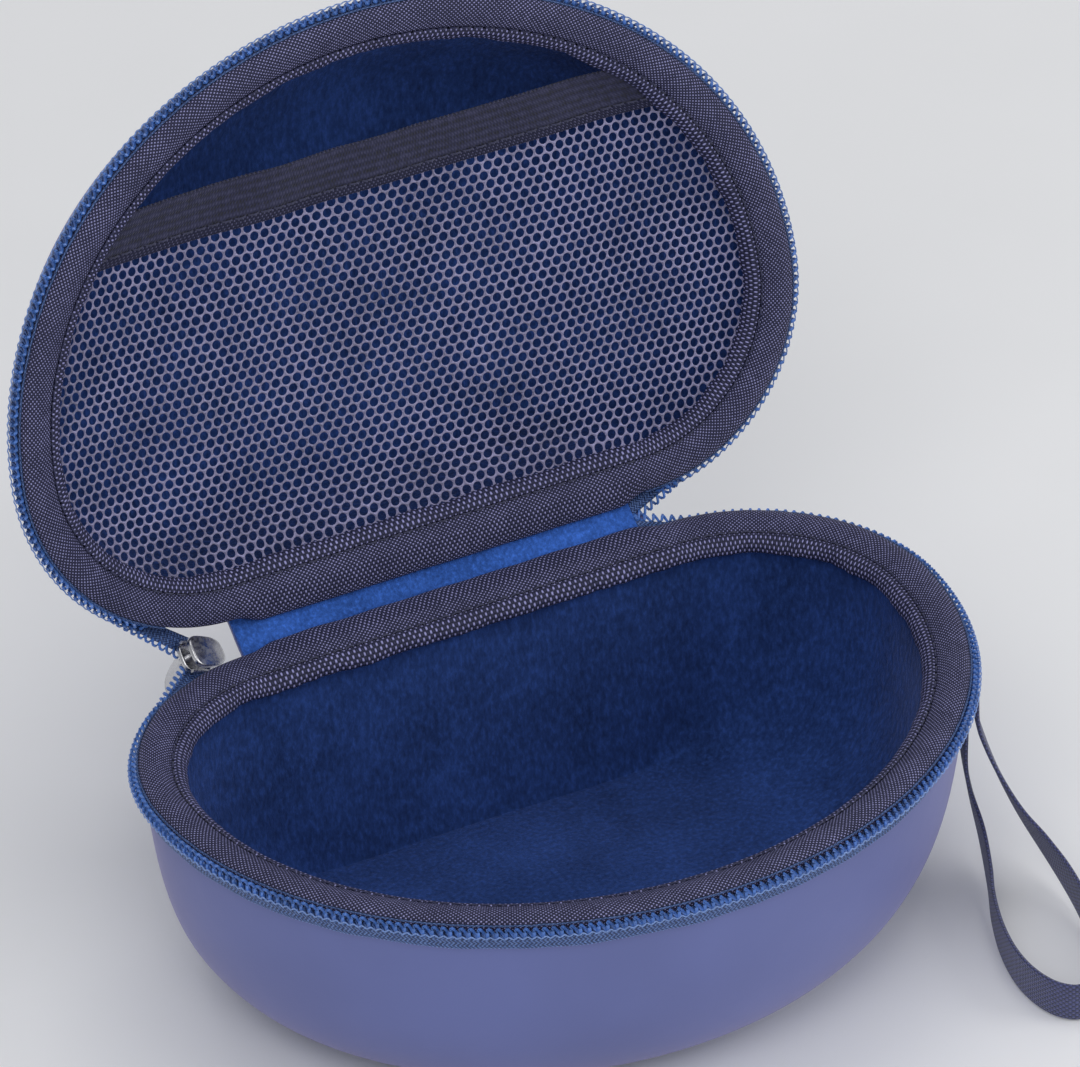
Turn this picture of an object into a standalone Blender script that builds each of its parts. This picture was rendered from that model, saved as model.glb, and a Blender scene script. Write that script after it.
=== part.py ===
"""Headphone carrying case: a moulded clamshell with a zipped rim, standing open.

Metres, +Z up. X runs along the hinge, the front faces -Y, and the origin is the middle of
the flat area that the tub stands on. Both halves share one D-shaped rim curve. Depths are
counted from the rim plane, where the two zipper halves face each other when the case is
shut: downwards on the base, upwards on the lid. Insets are counted inwards from the curve.
"""

import math

import bmesh
import bpy
from mathutils import Matrix, Vector

# Rim curve, through the middle of the zipper coil
HALF_WIDTH = 0.105
FRONT_DEPTH = 0.094
CORNER_RADIUS = 0.049
HINGE_HALF = HALF_WIDTH - CORNER_RADIUS
FRONT_STEPS = 26
CORNER_STEPS = 8

# Moulded shells
BASE_DEPTH = 0.0685
LID_DEPTH = 0.046
BASE_THICKNESS = 0.0055
LID_THICKNESS = 0.0045
LINING_THICKNESS = 0.0012
SHELL_INSET = 0.0028
SHELL_TOP_DEPTH = 0.0045
SHELL_COLLAR = 0.003
BASE_TAPER = 0.006
LID_TAPER = 0.012
BASE_ROUNDING = 0.050
LID_ROUNDING = 0.044
BACK_TAPER = 0.004
BACK_ROUNDING = 0.006
BASE_POWER = 3.2
LID_POWER = 2.6
PROFILE_STEPS = 9

# Woven binding over the rim
BINDING_OUTER_INSET = 0.0026
BINDING_GROOVE_INSET = 0.0097
BINDING_INNER_INSET = 0.0136
BINDING_TOP_DEPTH = 0.0004
BINDING_EDGE = 0.0012
BINDING_SLOPE = 0.0030
BINDING_GROOVE_DROP = 0.0016
BINDING_ROLL = 0.0010
BINDING_ROLL_DROPS = (0.0017, 0.0024, 0.0034, 0.0046, 0.0066)
BINDING_SWELL = 0.0023
SWELL_HALF = 0.050

# Zipper halves; the end angles count round each back corner, from the widest line
COIL_HALF_HEIGHT = 0.00145
COIL_HALF_THICKNESS = 0.00105
COIL_DEPTH = 0.0021
TAPE_THICKNESS = 0.0007
TAPE_FOOT_DEPTH = 0.0073
COIL_START_ANGLE = 84.0
TAPE_START_ANGLE = 90.0
COIL_END_ANGLE = 58.0
TAPE_END_ANGLE = 68.0

# Hinge: a narrow spine between the two shells, bending along both its edges
HINGE_LEFT = -0.056
HINGE_RIGHT = 0.050
HINGE_CLEARANCE = 0.001
HINGE_Y = CORNER_RADIUS + HINGE_CLEARANCE
SPINE_SPAN = 0.008
SPINE_SHEET = 0.001
SPINE_SHEET_GAP = 0.0003
FLAP_THICKNESS = 0.0024
FLAP_DEPTH = 0.013
FLAP_MARGIN = 0.0004
LID_ANGLE = 105.0

# Slider, parked beside the left end of the spine
SLIDER_X = -0.0677
SLIDER_LENGTH = 0.013
SLIDER_WIDTH = 0.009
SLIDER_THICKNESS = 0.0046
PLATE_THICKNESS = 0.0012
POST_SIZE = 0.0022
POST_MARGIN = 0.001
BAIL_WIRE = 0.00065
BAIL_HALF = 0.0035
BAIL_RISE = 0.0030
PULL_LENGTH = 0.024
PULL_WIDTH = 0.008
PULL_THICKNESS = 0.0014
PULL_EYE_WIDTH = 0.004
PULL_EYE_LENGTH = 0.0055
PULL_BAR = 0.0012
PULL_AXIS_RISE = 0.0011

# Pocket in the lid
POCKET_DEPTH = 0.0080
POCKET_SIDE_GAP = 0.0031
NET_THICKNESS = 0.0008
ELASTIC_THICKNESS = 0.0016
ELASTIC_WIDTH = 0.0095
HEM_WIDTH = 0.0022
ELASTIC_MIDDLE_Y = -0.0535
POCKET_BACK_Y = CORNER_RADIUS - 0.0125

# Wrist strap: a webbing loop sewn in below the zipper tape
STRAP_ANGLE = -20.0
STRAP_WIDTH = 0.010
STRAP_THICKNESS = 0.0011
ANCHOR_THICKNESS = 0.0030
ANCHOR_HEIGHT = 0.0065
ANCHOR_TOP_DEPTH = 0.0078
ANCHOR_SIDE_MARGIN = 0.0005
STRAP_SAMPLES = 3

GAP = 0.0003

# Route of the strap's middle line: place, then the way its outer face looks. It's laid out for
# a rim of ROUTE_SIZE (half width, front depth, tub depth) and follows the rim in other sizes.
ROUTE_SIZE = (0.105, 0.094, 0.0685)
STRAP_ROUTE = (
    ((0.0967, -0.0315, 0.0539), (-0.93, 0.38, 0.00)),
    ((0.0964, -0.0312, 0.0430), (-0.93, 0.38, 0.00)),
    ((0.0970, -0.0301, 0.0310), (-0.93, 0.38, 0.00)),
    ((0.0986, -0.0308, 0.0205), (-0.93, 0.38, 0.00)),
    ((0.0981, -0.0370, 0.0125), (-0.93, 0.38, 0.00)),
    ((0.0946, -0.0470, 0.0075), (-0.92, 0.40, 0.00)),
    ((0.0903, -0.0563, 0.0058), (-0.92, 0.40, 0.00)),
    ((0.0863, -0.0672, 0.0054), (-0.94, 0.34, 0.00)),
    ((0.0838, -0.0780, 0.0054), (-0.99, 0.14, 0.00)),
    ((0.0835, -0.0872, 0.0054), (-0.98, -0.20, 0.00)),
    ((0.0854, -0.0947, 0.0054), (-0.82, -0.57, 0.00)),
    ((0.0893, -0.0987, 0.0054), (-0.36, -0.93, 0.00)),
    ((0.0940, -0.0980, 0.0054), (0.45, -0.89, 0.00)),
    ((0.0986, -0.0930, 0.0054), (0.80, -0.60, 0.00)),
    ((0.1032, -0.0852, 0.0054), (0.88, -0.47, 0.00)),
    ((0.1066, -0.0768, 0.0054), (0.93, -0.36, 0.00)),
    ((0.1091, -0.0675, 0.0060), (0.97, -0.22, 0.00)),
    ((0.1101, -0.0573, 0.0085), (0.99, 0.00, 0.10)),
    ((0.1090, -0.0482, 0.0130), (0.97, 0.05, 0.25)),
    ((0.1062, -0.0413, 0.0195), (0.93, -0.10, 0.30)),
    ((0.1030, -0.0366, 0.0285), (0.93, -0.25, 0.22)),
    ((0.1003, -0.0337, 0.0380), (0.93, -0.36, 0.12)),
    ((0.0989, -0.0325, 0.0450), (0.93, -0.38, 0.05)),
    ((0.0987, -0.0323, 0.0539), (0.93, -0.38, 0.00)),
)


def material(name, colour, roughness, metallic=0.0):
    """A plain Principled material."""
    made = bpy.data.materials.new(name)
    made.use_nodes = True
    shader = made.node_tree.nodes["Principled BSDF"]
    shader.inputs["Base Color"].default_value = (*colour, 1.0)
    shader.inputs["Roughness"].default_value = roughness
    shader.inputs["Metallic"].default_value = metallic
    made.diffuse_color = (*colour, 1.0)
    return made


def make_materials():
    """One material for each kind of stuff the case is made of."""
    return {
        "skin": material("slate_blue_leather", (0.12, 0.13, 0.30), 0.55),
        "velour": material("navy_velour", (0.02, 0.05, 0.18), 0.95),
        "binding": material("woven_binding", (0.04, 0.04, 0.09), 0.85),
        "tape": material("blue_zipper_tape", (0.05, 0.10, 0.27), 0.85),
        "coil": material("blue_nylon_coil", (0.08, 0.16, 0.38), 0.45),
        "net": material("grey_net", (0.14, 0.15, 0.28), 0.90),
        "elastic": material("navy_elastic", (0.02, 0.03, 0.09), 0.90),
        "webbing": material("indigo_webbing", (0.06, 0.06, 0.16), 0.85),
        "steel": material("plated_steel", (0.60, 0.60, 0.62), 0.25, 1.0),
    }


def ellipse_point(angle, inset):
    """A point of the front half of the rim curve, moved inwards along its normal."""
    x = HALF_WIDTH * math.cos(angle)
    y = FRONT_DEPTH * math.sin(angle)
    normal = Vector((math.cos(angle) / HALF_WIDTH, math.sin(angle) / FRONT_DEPTH)).normalized()
    return (x - inset * normal.x, y - inset * normal.y)


def corner_point(side, degrees, inset):
    """A point of a back corner; degrees count from the widest line to the hinge line."""
    angle = math.radians(degrees)
    radius = CORNER_RADIUS - inset
    return (side * (HINGE_HALF + radius * math.cos(angle)), radius * math.sin(angle))


def rim_run(inset, right_degrees=90.0, left_degrees=90.0):
    """The rim curve from the right corner round the front to the left corner."""
    points = []
    for step in range(CORNER_STEPS):
        points.append(corner_point(1, right_degrees * (1 - step / CORNER_STEPS), inset))
    for step in range(FRONT_STEPS + 1):
        points.append(ellipse_point(-math.pi * step / FRONT_STEPS, inset))
    for step in range(1, CORNER_STEPS + 1):
        points.append(corner_point(-1, left_degrees * step / CORNER_STEPS, inset))
    return points


def rim_ring(inset, swell=0.0):
    """The whole rim curve as a closed ring, with its hinge side moved outwards by swell."""
    points = rim_run(inset)
    for x in (-SWELL_HALF, 0.0, SWELL_HALF):
        points.append((x, CORNER_RADIUS - inset + swell))
    return points


def add_object(name, mesh, look, smooth=True):
    """Link a finished mesh as one named piece."""
    made = bpy.data.objects.new(name, mesh)
    bpy.data.collections["headphone_case"].objects.link(made)
    mesh.materials.append(look)
    if smooth:
        mesh.shade_smooth()
        mesh.set_sharp_from_angle(angle=math.radians(40))
    return made


def mesh_from(builder):
    """Turn a filled bmesh into a mesh whose faces point outwards."""
    bmesh.ops.recalc_face_normals(builder, faces=builder.faces)
    mesh = bpy.data.meshes.new("piece")
    builder.to_mesh(mesh)
    builder.free()
    return mesh


def loft(rings, closed_rings, closed_path, capped):
    """Skin a row of equal rings; every ring is a list of points."""
    builder = bmesh.new()
    rows = [[builder.verts.new(point) for point in ring] for ring in rings]
    across = len(rows[0])
    pairs = list(zip(rows, rows[1:]))
    if closed_path:
        pairs.append((rows[-1], rows[0]))
    for low, high in pairs:
        for index in range(across if closed_rings else across - 1):
            after = (index + 1) % across
            builder.faces.new((low[index], low[after], high[after], high[index]))
    if capped:
        builder.faces.new(rows[0])
        builder.faces.new(rows[-1])
    return builder


def height(half, depth):
    """World height, lid shut, of a depth on the base or the lid."""
    return BASE_DEPTH + (depth if half == "lid" else -depth)


def wall(half):
    """Thickness of a shell's moulded wall."""
    return LID_THICKNESS if half == "lid" else BASE_THICKNESS


def tub_surface(half):
    """The outer skin of a shell as an open bowl: tapered walls rounded into a flat floor."""
    full_depth = LID_DEPTH if half == "lid" else BASE_DEPTH
    rounding = LID_ROUNDING if half == "lid" else BASE_ROUNDING
    taper = LID_TAPER if half == "lid" else BASE_TAPER
    power = LID_POWER if half == "lid" else BASE_POWER
    top = rim_ring(SHELL_INSET)
    half_width = HALF_WIDTH - SHELL_INSET
    front = FRONT_DEPTH - SHELL_INSET
    back = CORNER_RADIUS - SHELL_INSET
    collar_depth = SHELL_TOP_DEPTH + SHELL_COLLAR
    rings = [[(x, y, height(half, SHELL_TOP_DEPTH)) for x, y in top]]
    for step in range(PROFILE_STEPS + 1):
        turn = 0.5 * math.pi * step / PROFILE_STEPS
        drop = abs(math.sin(turn)) ** (2 / power)
        pull = 1 - abs(math.cos(turn)) ** (2 / power)
        side_pull = taper * drop + rounding * pull
        scale_x = 1 - side_pull / half_width
        scale_front = 1 - side_pull / front
        scale_back = 1 - (BACK_TAPER * drop + BACK_ROUNDING * pull) / back
        z = height(half, collar_depth + (full_depth - collar_depth) * drop)
        ring = [(x * scale_x, y * (scale_back if y > 0 else scale_front), z) for x, y in top]
        rings.append(ring)
    builder = loft(rings, closed_rings=True, closed_path=False, capped=False)
    builder.verts.ensure_lookup_table()
    floor = builder.faces.new(builder.verts[-len(top):])
    bmesh.ops.recalc_face_normals(builder, faces=builder.faces)
    floor.normal_update()
    if floor.normal.z * (1 if half == "lid" else -1) < 0:
        bmesh.ops.reverse_faces(builder, faces=builder.faces)
    mesh = bpy.data.meshes.new("tub")
    builder.to_mesh(mesh)
    builder.free()
    return mesh


def thicken(target, thickness, start=0.0):
    """Give an open surface its wall, beginning at a depth of start below the surface."""
    solid = target.modifiers.new("wall", "SOLIDIFY")
    solid.thickness = thickness
    solid.offset = -1.0 - 2.0 * start / thickness
    solid.use_even_offset = True


def make_shell(half, looks):
    """The moulded foam shell whose outer face is the bonded leather-look skin."""
    shell = add_object(half + "_shell", tub_surface(half), looks["skin"])
    thicken(shell, wall(half))
    return shell


def make_lining(half, looks):
    """The velour lining, lying against the inside of the shell."""
    lining = add_object(half + "_lining", tub_surface(half), looks["velour"])
    thicken(lining, LINING_THICKNESS, wall(half) + GAP)
    return lining


def ring_band(name, half, section, swells, look):
    """A closed band round the rim; section is (inset, depth), swells moves each on the hinge."""
    corners = [rim_ring(inset, swell) for (inset, _), swell in zip(section, swells)]
    rings = []
    for index in range(len(corners[0])):
        ring = [(*corner[index], height(half, depth)) for corner, (_, depth) in zip(corners, section)]
        rings.append(ring)
    builder = loft(rings, closed_rings=True, closed_path=True, capped=False)
    return add_object(name, mesh_from(builder), look)


def open_band(name, half, section, degrees, look):
    """A band along the zipped part of the rim; section is (inset, depth)."""
    corners = [rim_run(inset, *degrees) for inset, _ in section]
    rings = []
    for index in range(len(corners[0])):
        ring = [(*corner[index], height(half, depth)) for corner, (_, depth) in zip(corners, section)]
        rings.append(ring)
    builder = loft(rings, closed_rings=True, closed_path=False, capped=True)
    return add_object(name, mesh_from(builder), look)


def make_binding(half, looks):
    """The two woven bands: one folded over the rim edge, one rolled down onto the lining."""
    foot = SHELL_TOP_DEPTH - GAP
    outer = (
        (BINDING_OUTER_INSET, foot),
        (BINDING_OUTER_INSET, BINDING_TOP_DEPTH + BINDING_EDGE),
        (BINDING_OUTER_INSET + BINDING_EDGE, BINDING_TOP_DEPTH),
        (BINDING_GROOVE_INSET - BINDING_SLOPE, BINDING_TOP_DEPTH),
        (BINDING_GROOVE_INSET, BINDING_TOP_DEPTH + BINDING_GROOVE_DROP),
        (BINDING_GROOVE_INSET, foot),
    )
    swells = (BINDING_SWELL, BINDING_SWELL, BINDING_SWELL, 0.0, 0.0, 0.0)
    wide = ring_band(half + "_binding_outer", half, outer, swells, looks["binding"])
    start = BINDING_GROOVE_INSET + GAP
    lining_face = SHELL_INSET + wall(half) + LINING_THICKNESS + 2 * GAP
    insets = (start, BINDING_INNER_INSET - BINDING_ROLL, BINDING_INNER_INSET,
              BINDING_INNER_INSET - BINDING_ROLL / 2, max(start, lining_face + GAP))
    inner = [(inset, BINDING_TOP_DEPTH + drop) for inset, drop in zip(insets, BINDING_ROLL_DROPS)]
    narrow = ring_band(half + "_binding_inner", half, inner, [0.0] * len(inner), looks["binding"])
    return [wide, narrow]


def make_zipper(half, looks):
    """One half of the zipper: its woven tape and the nylon coil sewn along it."""
    top = COIL_DEPTH + COIL_HALF_HEIGHT + GAP
    half_tape = TAPE_THICKNESS / 2
    foot_inset = SHELL_INSET - GAP - TAPE_THICKNESS
    tape_section = (
        (-half_tape, top),
        (half_tape, top),
        (foot_inset + TAPE_THICKNESS, TAPE_FOOT_DEPTH),
        (foot_inset, TAPE_FOOT_DEPTH),
    )
    coil_section = []
    for step in range(8):
        turn = math.radians(22.5 + 45 * step)
        inset = COIL_HALF_THICKNESS * math.cos(turn)
        coil_section.append((inset, COIL_DEPTH + COIL_HALF_HEIGHT * math.sin(turn)))
    tape_ends = (TAPE_START_ANGLE, TAPE_END_ANGLE)
    coil_ends = (COIL_START_ANGLE, COIL_END_ANGLE)
    return [
        open_band(half + "_zipper_tape", half, tape_section, tape_ends, looks["tape"]),
        open_band(half + "_zipper_coil", half, coil_section, coil_ends, looks["coil"]),
    ]


def box(name, low, high, look):
    """A box between two corners."""
    builder = bmesh.new()
    bmesh.ops.create_cube(builder, size=1.0)
    size = Vector(high) - Vector(low)
    bmesh.ops.scale(builder, vec=size, verts=builder.verts)
    bmesh.ops.translate(builder, vec=(Vector(high) + Vector(low)) / 2, verts=builder.verts)
    return add_object(name, mesh_from(builder), look, smooth=False)


def make_flap(half, looks):
    """The sewn leather margin that carries the hinge on each shell's back wall."""
    low_y = CORNER_RADIUS - SHELL_INSET + FLAP_MARGIN
    ends = sorted((height(half, SHELL_TOP_DEPTH), height(half, FLAP_DEPTH)))
    low = (HINGE_LEFT, low_y, ends[0])
    high = (HINGE_RIGHT, low_y + FLAP_THICKNESS, ends[1])
    return box(half + "_hinge_flap", low, high, looks["skin"])


def make_spine(looks):
    """The bending strip: velour inside, leather outside, between the two hinge lines."""
    low_z = BASE_DEPTH - SPINE_SPAN / 2 + GAP
    high_z = BASE_DEPTH + SPINE_SPAN / 2 - GAP
    inner_y = HINGE_Y - SPINE_SHEET / 2
    outer_y = inner_y + SPINE_SHEET + SPINE_SHEET_GAP
    strip = box("hinge_velour_strip", (HINGE_LEFT, inner_y, low_z),
                (HINGE_RIGHT, inner_y + SPINE_SHEET, high_z), looks["velour"])
    panel = box("hinge_leather_panel", (HINGE_LEFT, outer_y, low_z),
                (HINGE_RIGHT, outer_y + SPINE_SHEET, high_z), looks["skin"])
    return [strip, panel]


def slider_face_y():
    """Outer face of the slider, with the case shut."""
    return HINGE_Y + SLIDER_THICKNESS / 2


def make_slider(looks):
    """Zipper slider: two plates joined by a post, and the bail that holds the pull."""
    half_width = SLIDER_WIDTH / 2
    half_length = SLIDER_LENGTH / 2
    face = slider_face_y()
    back = face - SLIDER_THICKNESS
    left = SLIDER_X - half_length
    plate = box("slider_body", (left, face - PLATE_THICKNESS, BASE_DEPTH - half_width),
                (SLIDER_X + half_length, face, BASE_DEPTH + half_width), looks["steel"])
    rear = box("rear_plate_shape", (left, back, BASE_DEPTH - half_width),
               (SLIDER_X + half_length, back + PLATE_THICKNESS, BASE_DEPTH + half_width),
               looks["steel"])
    post_left = left + POST_MARGIN
    post = box("post_shape", (post_left, back + PLATE_THICKNESS / 2, BASE_DEPTH - POST_SIZE / 2),
               (post_left + POST_SIZE, face - PLATE_THICKNESS / 2, BASE_DEPTH + POST_SIZE / 2),
               looks["steel"])
    for shape in (post, rear):
        join = plate.modifiers.new("join", "BOOLEAN")
        join.operation = "UNION"
        join.object = shape
        hide_cutter(shape)
    foot = face + GAP
    arch = (
        (-BAIL_HALF, foot),
        (-BAIL_HALF, foot + 0.5 * BAIL_RISE),
        (-0.6 * BAIL_HALF, foot + BAIL_RISE),
        (0.6 * BAIL_HALF, foot + BAIL_RISE),
        (BAIL_HALF, foot + 0.5 * BAIL_RISE),
        (BAIL_HALF, foot),
    )
    points = [(SLIDER_X + x, y, BASE_DEPTH) for x, y in arch]
    bail = wire("slider_bail", points, BAIL_WIRE, looks["steel"])
    return [plate, bail, rear, post]


def wire(name, points, radius, look):
    """A round wire through the points, with closed ends."""
    curve = bpy.data.curves.new(name, "CURVE")
    curve.dimensions = "3D"
    curve.bevel_depth = radius
    curve.bevel_resolution = 2
    curve.use_fill_caps = True
    line = curve.splines.new("POLY")
    line.points.add(len(points) - 1)
    for target, point in zip(line.points, points):
        target.co = (*point, 1.0)
    made = bpy.data.objects.new(name, curve)
    curve.materials.append(look)
    bpy.data.collections["headphone_case"].objects.link(made)
    return made


def hide_cutter(shape):
    """Move a helper shape to the cutters, where it isn't part of the object."""
    shape.hide_render = True
    shape.display_type = "WIRE"
    bpy.data.collections["headphone_case"].objects.unlink(shape)
    bpy.data.collections["cutters"].objects.link(shape)


def make_pull(looks):
    """The pull tab: a plate with an eye, hanging by its bar inside the bail."""
    axis_y = slider_face_y() + PULL_AXIS_RISE
    half = PULL_WIDTH / 2
    start = -PULL_BAR / 2
    outline = [(-half, start), (half, start), (half, PULL_LENGTH - half)]
    for step in range(1, 8):
        turn = math.pi * step / 8
        outline.append((half * math.cos(turn), PULL_LENGTH - half + half * math.sin(turn)))
    outline.append((-half, PULL_LENGTH - half))
    eye_half = PULL_EYE_WIDTH / 2
    eye_start = PULL_BAR / 2
    eye = [(-eye_half, eye_start), (-eye_half, eye_start + PULL_EYE_LENGTH),
           (eye_half, eye_start + PULL_EYE_LENGTH), (eye_half, eye_start)]
    curve = bpy.data.curves.new("pull_tab", "CURVE")
    curve.dimensions = "2D"
    curve.fill_mode = "BOTH"
    curve.extrude = PULL_THICKNESS / 2
    for loop in (outline, eye):
        line = curve.splines.new("POLY")
        line.points.add(len(loop) - 1)
        line.use_cyclic_u = True
        for target, (x, y) in zip(line.points, loop):
            target.co = (x, y, 0.0, 1.0)
    flat = bpy.data.objects.new("pull_outline", curve)
    bpy.data.collections["cutters"].objects.link(flat)
    bpy.context.view_layer.update()
    solid = bpy.data.meshes.new_from_object(flat.evaluated_get(bpy.context.evaluated_depsgraph_get()))
    bpy.data.objects.remove(flat)
    builder = bmesh.new()
    builder.from_mesh(solid)
    bmesh.ops.remove_doubles(builder, verts=builder.verts, dist=0.00001)
    stand = Matrix(((0, 0, 1, 0), (0, 1, 0, 0), (-1, 0, 0, 0), (0, 0, 0, 1)))
    move = Matrix.Translation((SLIDER_X, axis_y, BASE_DEPTH))
    bmesh.ops.transform(builder, matrix=move @ stand, verts=builder.verts)
    return add_object("pull_tab", mesh_from(builder), looks["steel"], smooth=False)


def pocket_outline(side_gap):
    """Half widths of the lid's hollow at the pocket's depth, as a function of y."""
    inset = SHELL_INSET + wall("lid") + LINING_THICKNESS + 2 * GAP + side_gap
    reach_x = HALF_WIDTH - inset
    reach_front = FRONT_DEPTH - inset
    radius = CORNER_RADIUS - inset

    def half_width(y):
        if y <= 0:
            return reach_x * math.sqrt(max(0.0, 1 - (y / reach_front) ** 2))
        return HINGE_HALF + math.sqrt(max(0.0, radius ** 2 - y ** 2))

    return half_width


def strip_across(name, low_y, high_y, thickness, look, steps):
    """A flat strip across the lid's hollow, its ends following the lining."""
    half_width = pocket_outline(POCKET_SIDE_GAP)
    levels = [low_y + (high_y - low_y) * step / steps for step in range(steps + 1)]
    right = [(half_width(y), y) for y in levels]
    outline = right + [(-x, y) for x, y in reversed(right)]
    near = BASE_DEPTH + POCKET_DEPTH - thickness / 2
    rings = [[(x, y, z) for x, y in outline] for z in (near, near + thickness)]
    builder = loft(rings, closed_rings=True, closed_path=False, capped=True)
    return add_object(name, mesh_from(builder), look, smooth=False)


def make_pocket(looks):
    """The net pocket in the lid, its hem and the ribbed elastic along its mouth."""
    elastic_low = ELASTIC_MIDDLE_Y - ELASTIC_WIDTH / 2
    elastic_high = ELASTIC_MIDDLE_Y + ELASTIC_WIDTH / 2
    hem_high = elastic_high + GAP + HEM_WIDTH
    return [
        strip_across("pocket_elastic", elastic_low, elastic_high, ELASTIC_THICKNESS, looks["elastic"], 3),
        strip_across("pocket_hem", elastic_high + GAP, hem_high, ELASTIC_THICKNESS, looks["binding"], 1),
        strip_across("pocket_net", hem_high + GAP, POCKET_BACK_Y, NET_THICKNESS, looks["net"], 16),
    ]


def make_anchor(looks):
    """The folded webbing tail that the strap is sewn to, under the zipper tape."""
    angle = math.radians(STRAP_ANGLE)
    outer = Vector((*ellipse_point(angle, 0.0), 0.0))
    inner = Vector((*ellipse_point(angle, ANCHOR_THICKNESS), 0.0))
    inward = (inner - outer).normalized()
    wall_inset = SHELL_INSET - GAP
    middle = outer + inward * (wall_inset - ANCHOR_THICKNESS / 2)
    middle.z = BASE_DEPTH - ANCHOR_TOP_DEPTH - ANCHOR_HEIGHT / 2
    builder = bmesh.new()
    bmesh.ops.create_cube(builder, size=1.0)
    size = (ANCHOR_THICKNESS, STRAP_WIDTH + 2 * ANCHOR_SIDE_MARGIN, ANCHOR_HEIGHT)
    bmesh.ops.scale(builder, vec=size, verts=builder.verts)
    turn = Matrix.Rotation(math.atan2(-inward.y, -inward.x), 4, "Z")
    bmesh.ops.transform(builder, matrix=Matrix.Translation(middle) @ turn, verts=builder.verts)
    return add_object("strap_anchor", mesh_from(builder), looks["webbing"], smooth=False)


def smooth_row(rows, samples):
    """A Catmull-Rom run through rows of vectors, samples pieces per span."""
    padded = [rows[0]] + list(rows) + [rows[-1]]
    result = []
    for index in range(1, len(padded) - 2):
        a, b, c, d = padded[index - 1:index + 3]
        for step in range(samples):
            t = step / samples
            blend = 2 * b + (c - a) * t + (2 * a - 5 * b + 4 * c - d) * t ** 2
            result.append((blend + (3 * b - a - 3 * c + d) * t ** 3) / 2)
    result.append(rows[-1])
    return result


def strap_place(place):
    """A place on the strap's route, moved with the anchor when the rim or the tub's depth change."""
    x, y, z = place
    wider, deeper, taller = (HALF_WIDTH - ROUTE_SIZE[0], FRONT_DEPTH - ROUTE_SIZE[1],
                             BASE_DEPTH - ROUTE_SIZE[2])
    lowest = min(row[0][2] for row in STRAP_ROUTE)
    rise = (z - lowest) / (STRAP_ROUTE[-1][0][2] - lowest)
    angle = math.radians(STRAP_ANGLE)
    return Vector((x + wider * math.cos(angle), y + deeper * math.sin(angle), z + taller * rise))


def make_strap(looks):
    """The wrist strap: flat webbing out of the anchor, round a loop and back to it."""
    places = smooth_row([strap_place(place) for place, _ in STRAP_ROUTE], STRAP_SAMPLES)
    faces = smooth_row([Vector(face) for _, face in STRAP_ROUTE], STRAP_SAMPLES)
    rings = []
    for index, (place, face) in enumerate(zip(places, faces)):
        before = places[max(index - 1, 0)]
        after = places[min(index + 1, len(places) - 1)]
        along = (after - before).normalized()
        across = along.cross(face).normalized() * (STRAP_WIDTH / 2)
        thick = across.cross(along).normalized() * (STRAP_THICKNESS / 2)
        rings.append([place + across + thick, place + across - thick,
                      place - across - thick, place - across + thick])
    builder = loft(rings, closed_rings=True, closed_path=False, capped=True)
    return add_object("wrist_strap", mesh_from(builder), looks["webbing"])


def pivot(name, location, parent=None, tilt=0.0):
    """An empty on a joint's axis; tilt is in degrees of opening."""
    made = bpy.data.objects.new(name, None)
    bpy.data.collections["headphone_case"].objects.link(made)
    made.parent = parent
    made.location = location
    made.rotation_euler = (-math.radians(tilt), 0.0, 0.0)
    return made


def hang(pieces, holder, shut_place):
    """Parent pieces modelled with the case shut to a pivot, given the pivot's shut place."""
    for piece in pieces:
        piece.parent = holder
        piece.location = -Vector(shut_place)


def build():
    """Make every piece with the case shut, then hang the moving ones on their pivots."""
    for name in ("headphone_case", "cutters"):
        made = bpy.data.collections.new(name)
        bpy.context.scene.collection.children.link(made)
    looks = make_materials()
    for half in ("base", "lid"):
        pieces = [make_shell(half, looks), make_lining(half, looks), make_flap(half, looks)]
        pieces += make_binding(half, looks) + make_zipper(half, looks)
    lid_pieces = pieces + make_pocket(looks)

    base_line = (0.0, HINGE_Y, BASE_DEPTH - SPINE_SPAN / 2)
    lid_line = (0.0, HINGE_Y, BASE_DEPTH + SPINE_SPAN / 2)
    spine_pivot = pivot("spine_pivot", base_line, tilt=LID_ANGLE / 2)
    lid_pivot = pivot("lid_pivot", (0.0, 0.0, SPINE_SPAN), spine_pivot, LID_ANGLE / 2)
    hang(make_spine(looks), spine_pivot, base_line)
    hang(lid_pieces, lid_pivot, lid_line)
    hang(make_slider(looks), spine_pivot, base_line)

    pull_line = Vector((SLIDER_X, slider_face_y() + PULL_AXIS_RISE, BASE_DEPTH))
    pull_pivot = pivot("pull_pivot", pull_line - Vector(base_line), spine_pivot)
    hang([make_pull(looks)], pull_pivot, pull_line)

    make_anchor(looks)
    place, face = STRAP_ROUTE[-1]
    strap_line = strap_place(place) + Vector(face).normalized() * (STRAP_THICKNESS / 2)
    strap_pivot = pivot("strap_pivot", strap_line)
    hang([make_strap(looks)], strap_pivot, strap_line)


def clear_scene():
    """Remove what the scene starts with."""
    for thing in list(bpy.data.objects):
        bpy.data.objects.remove(thing)


clear_scene()
build()
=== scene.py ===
"""Headphone carrying case: the finished look of a moulded clamshell case, built round its frame.

Everything is in metres. Each half is worked out with the case shut, from one D-shaped rim
curve: an inset is counted inwards from the curve and a depth away from the plane where the
two zipper halves meet. A half is then seated in its place, the lid leaning back on its hinge.
"""

import math

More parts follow.
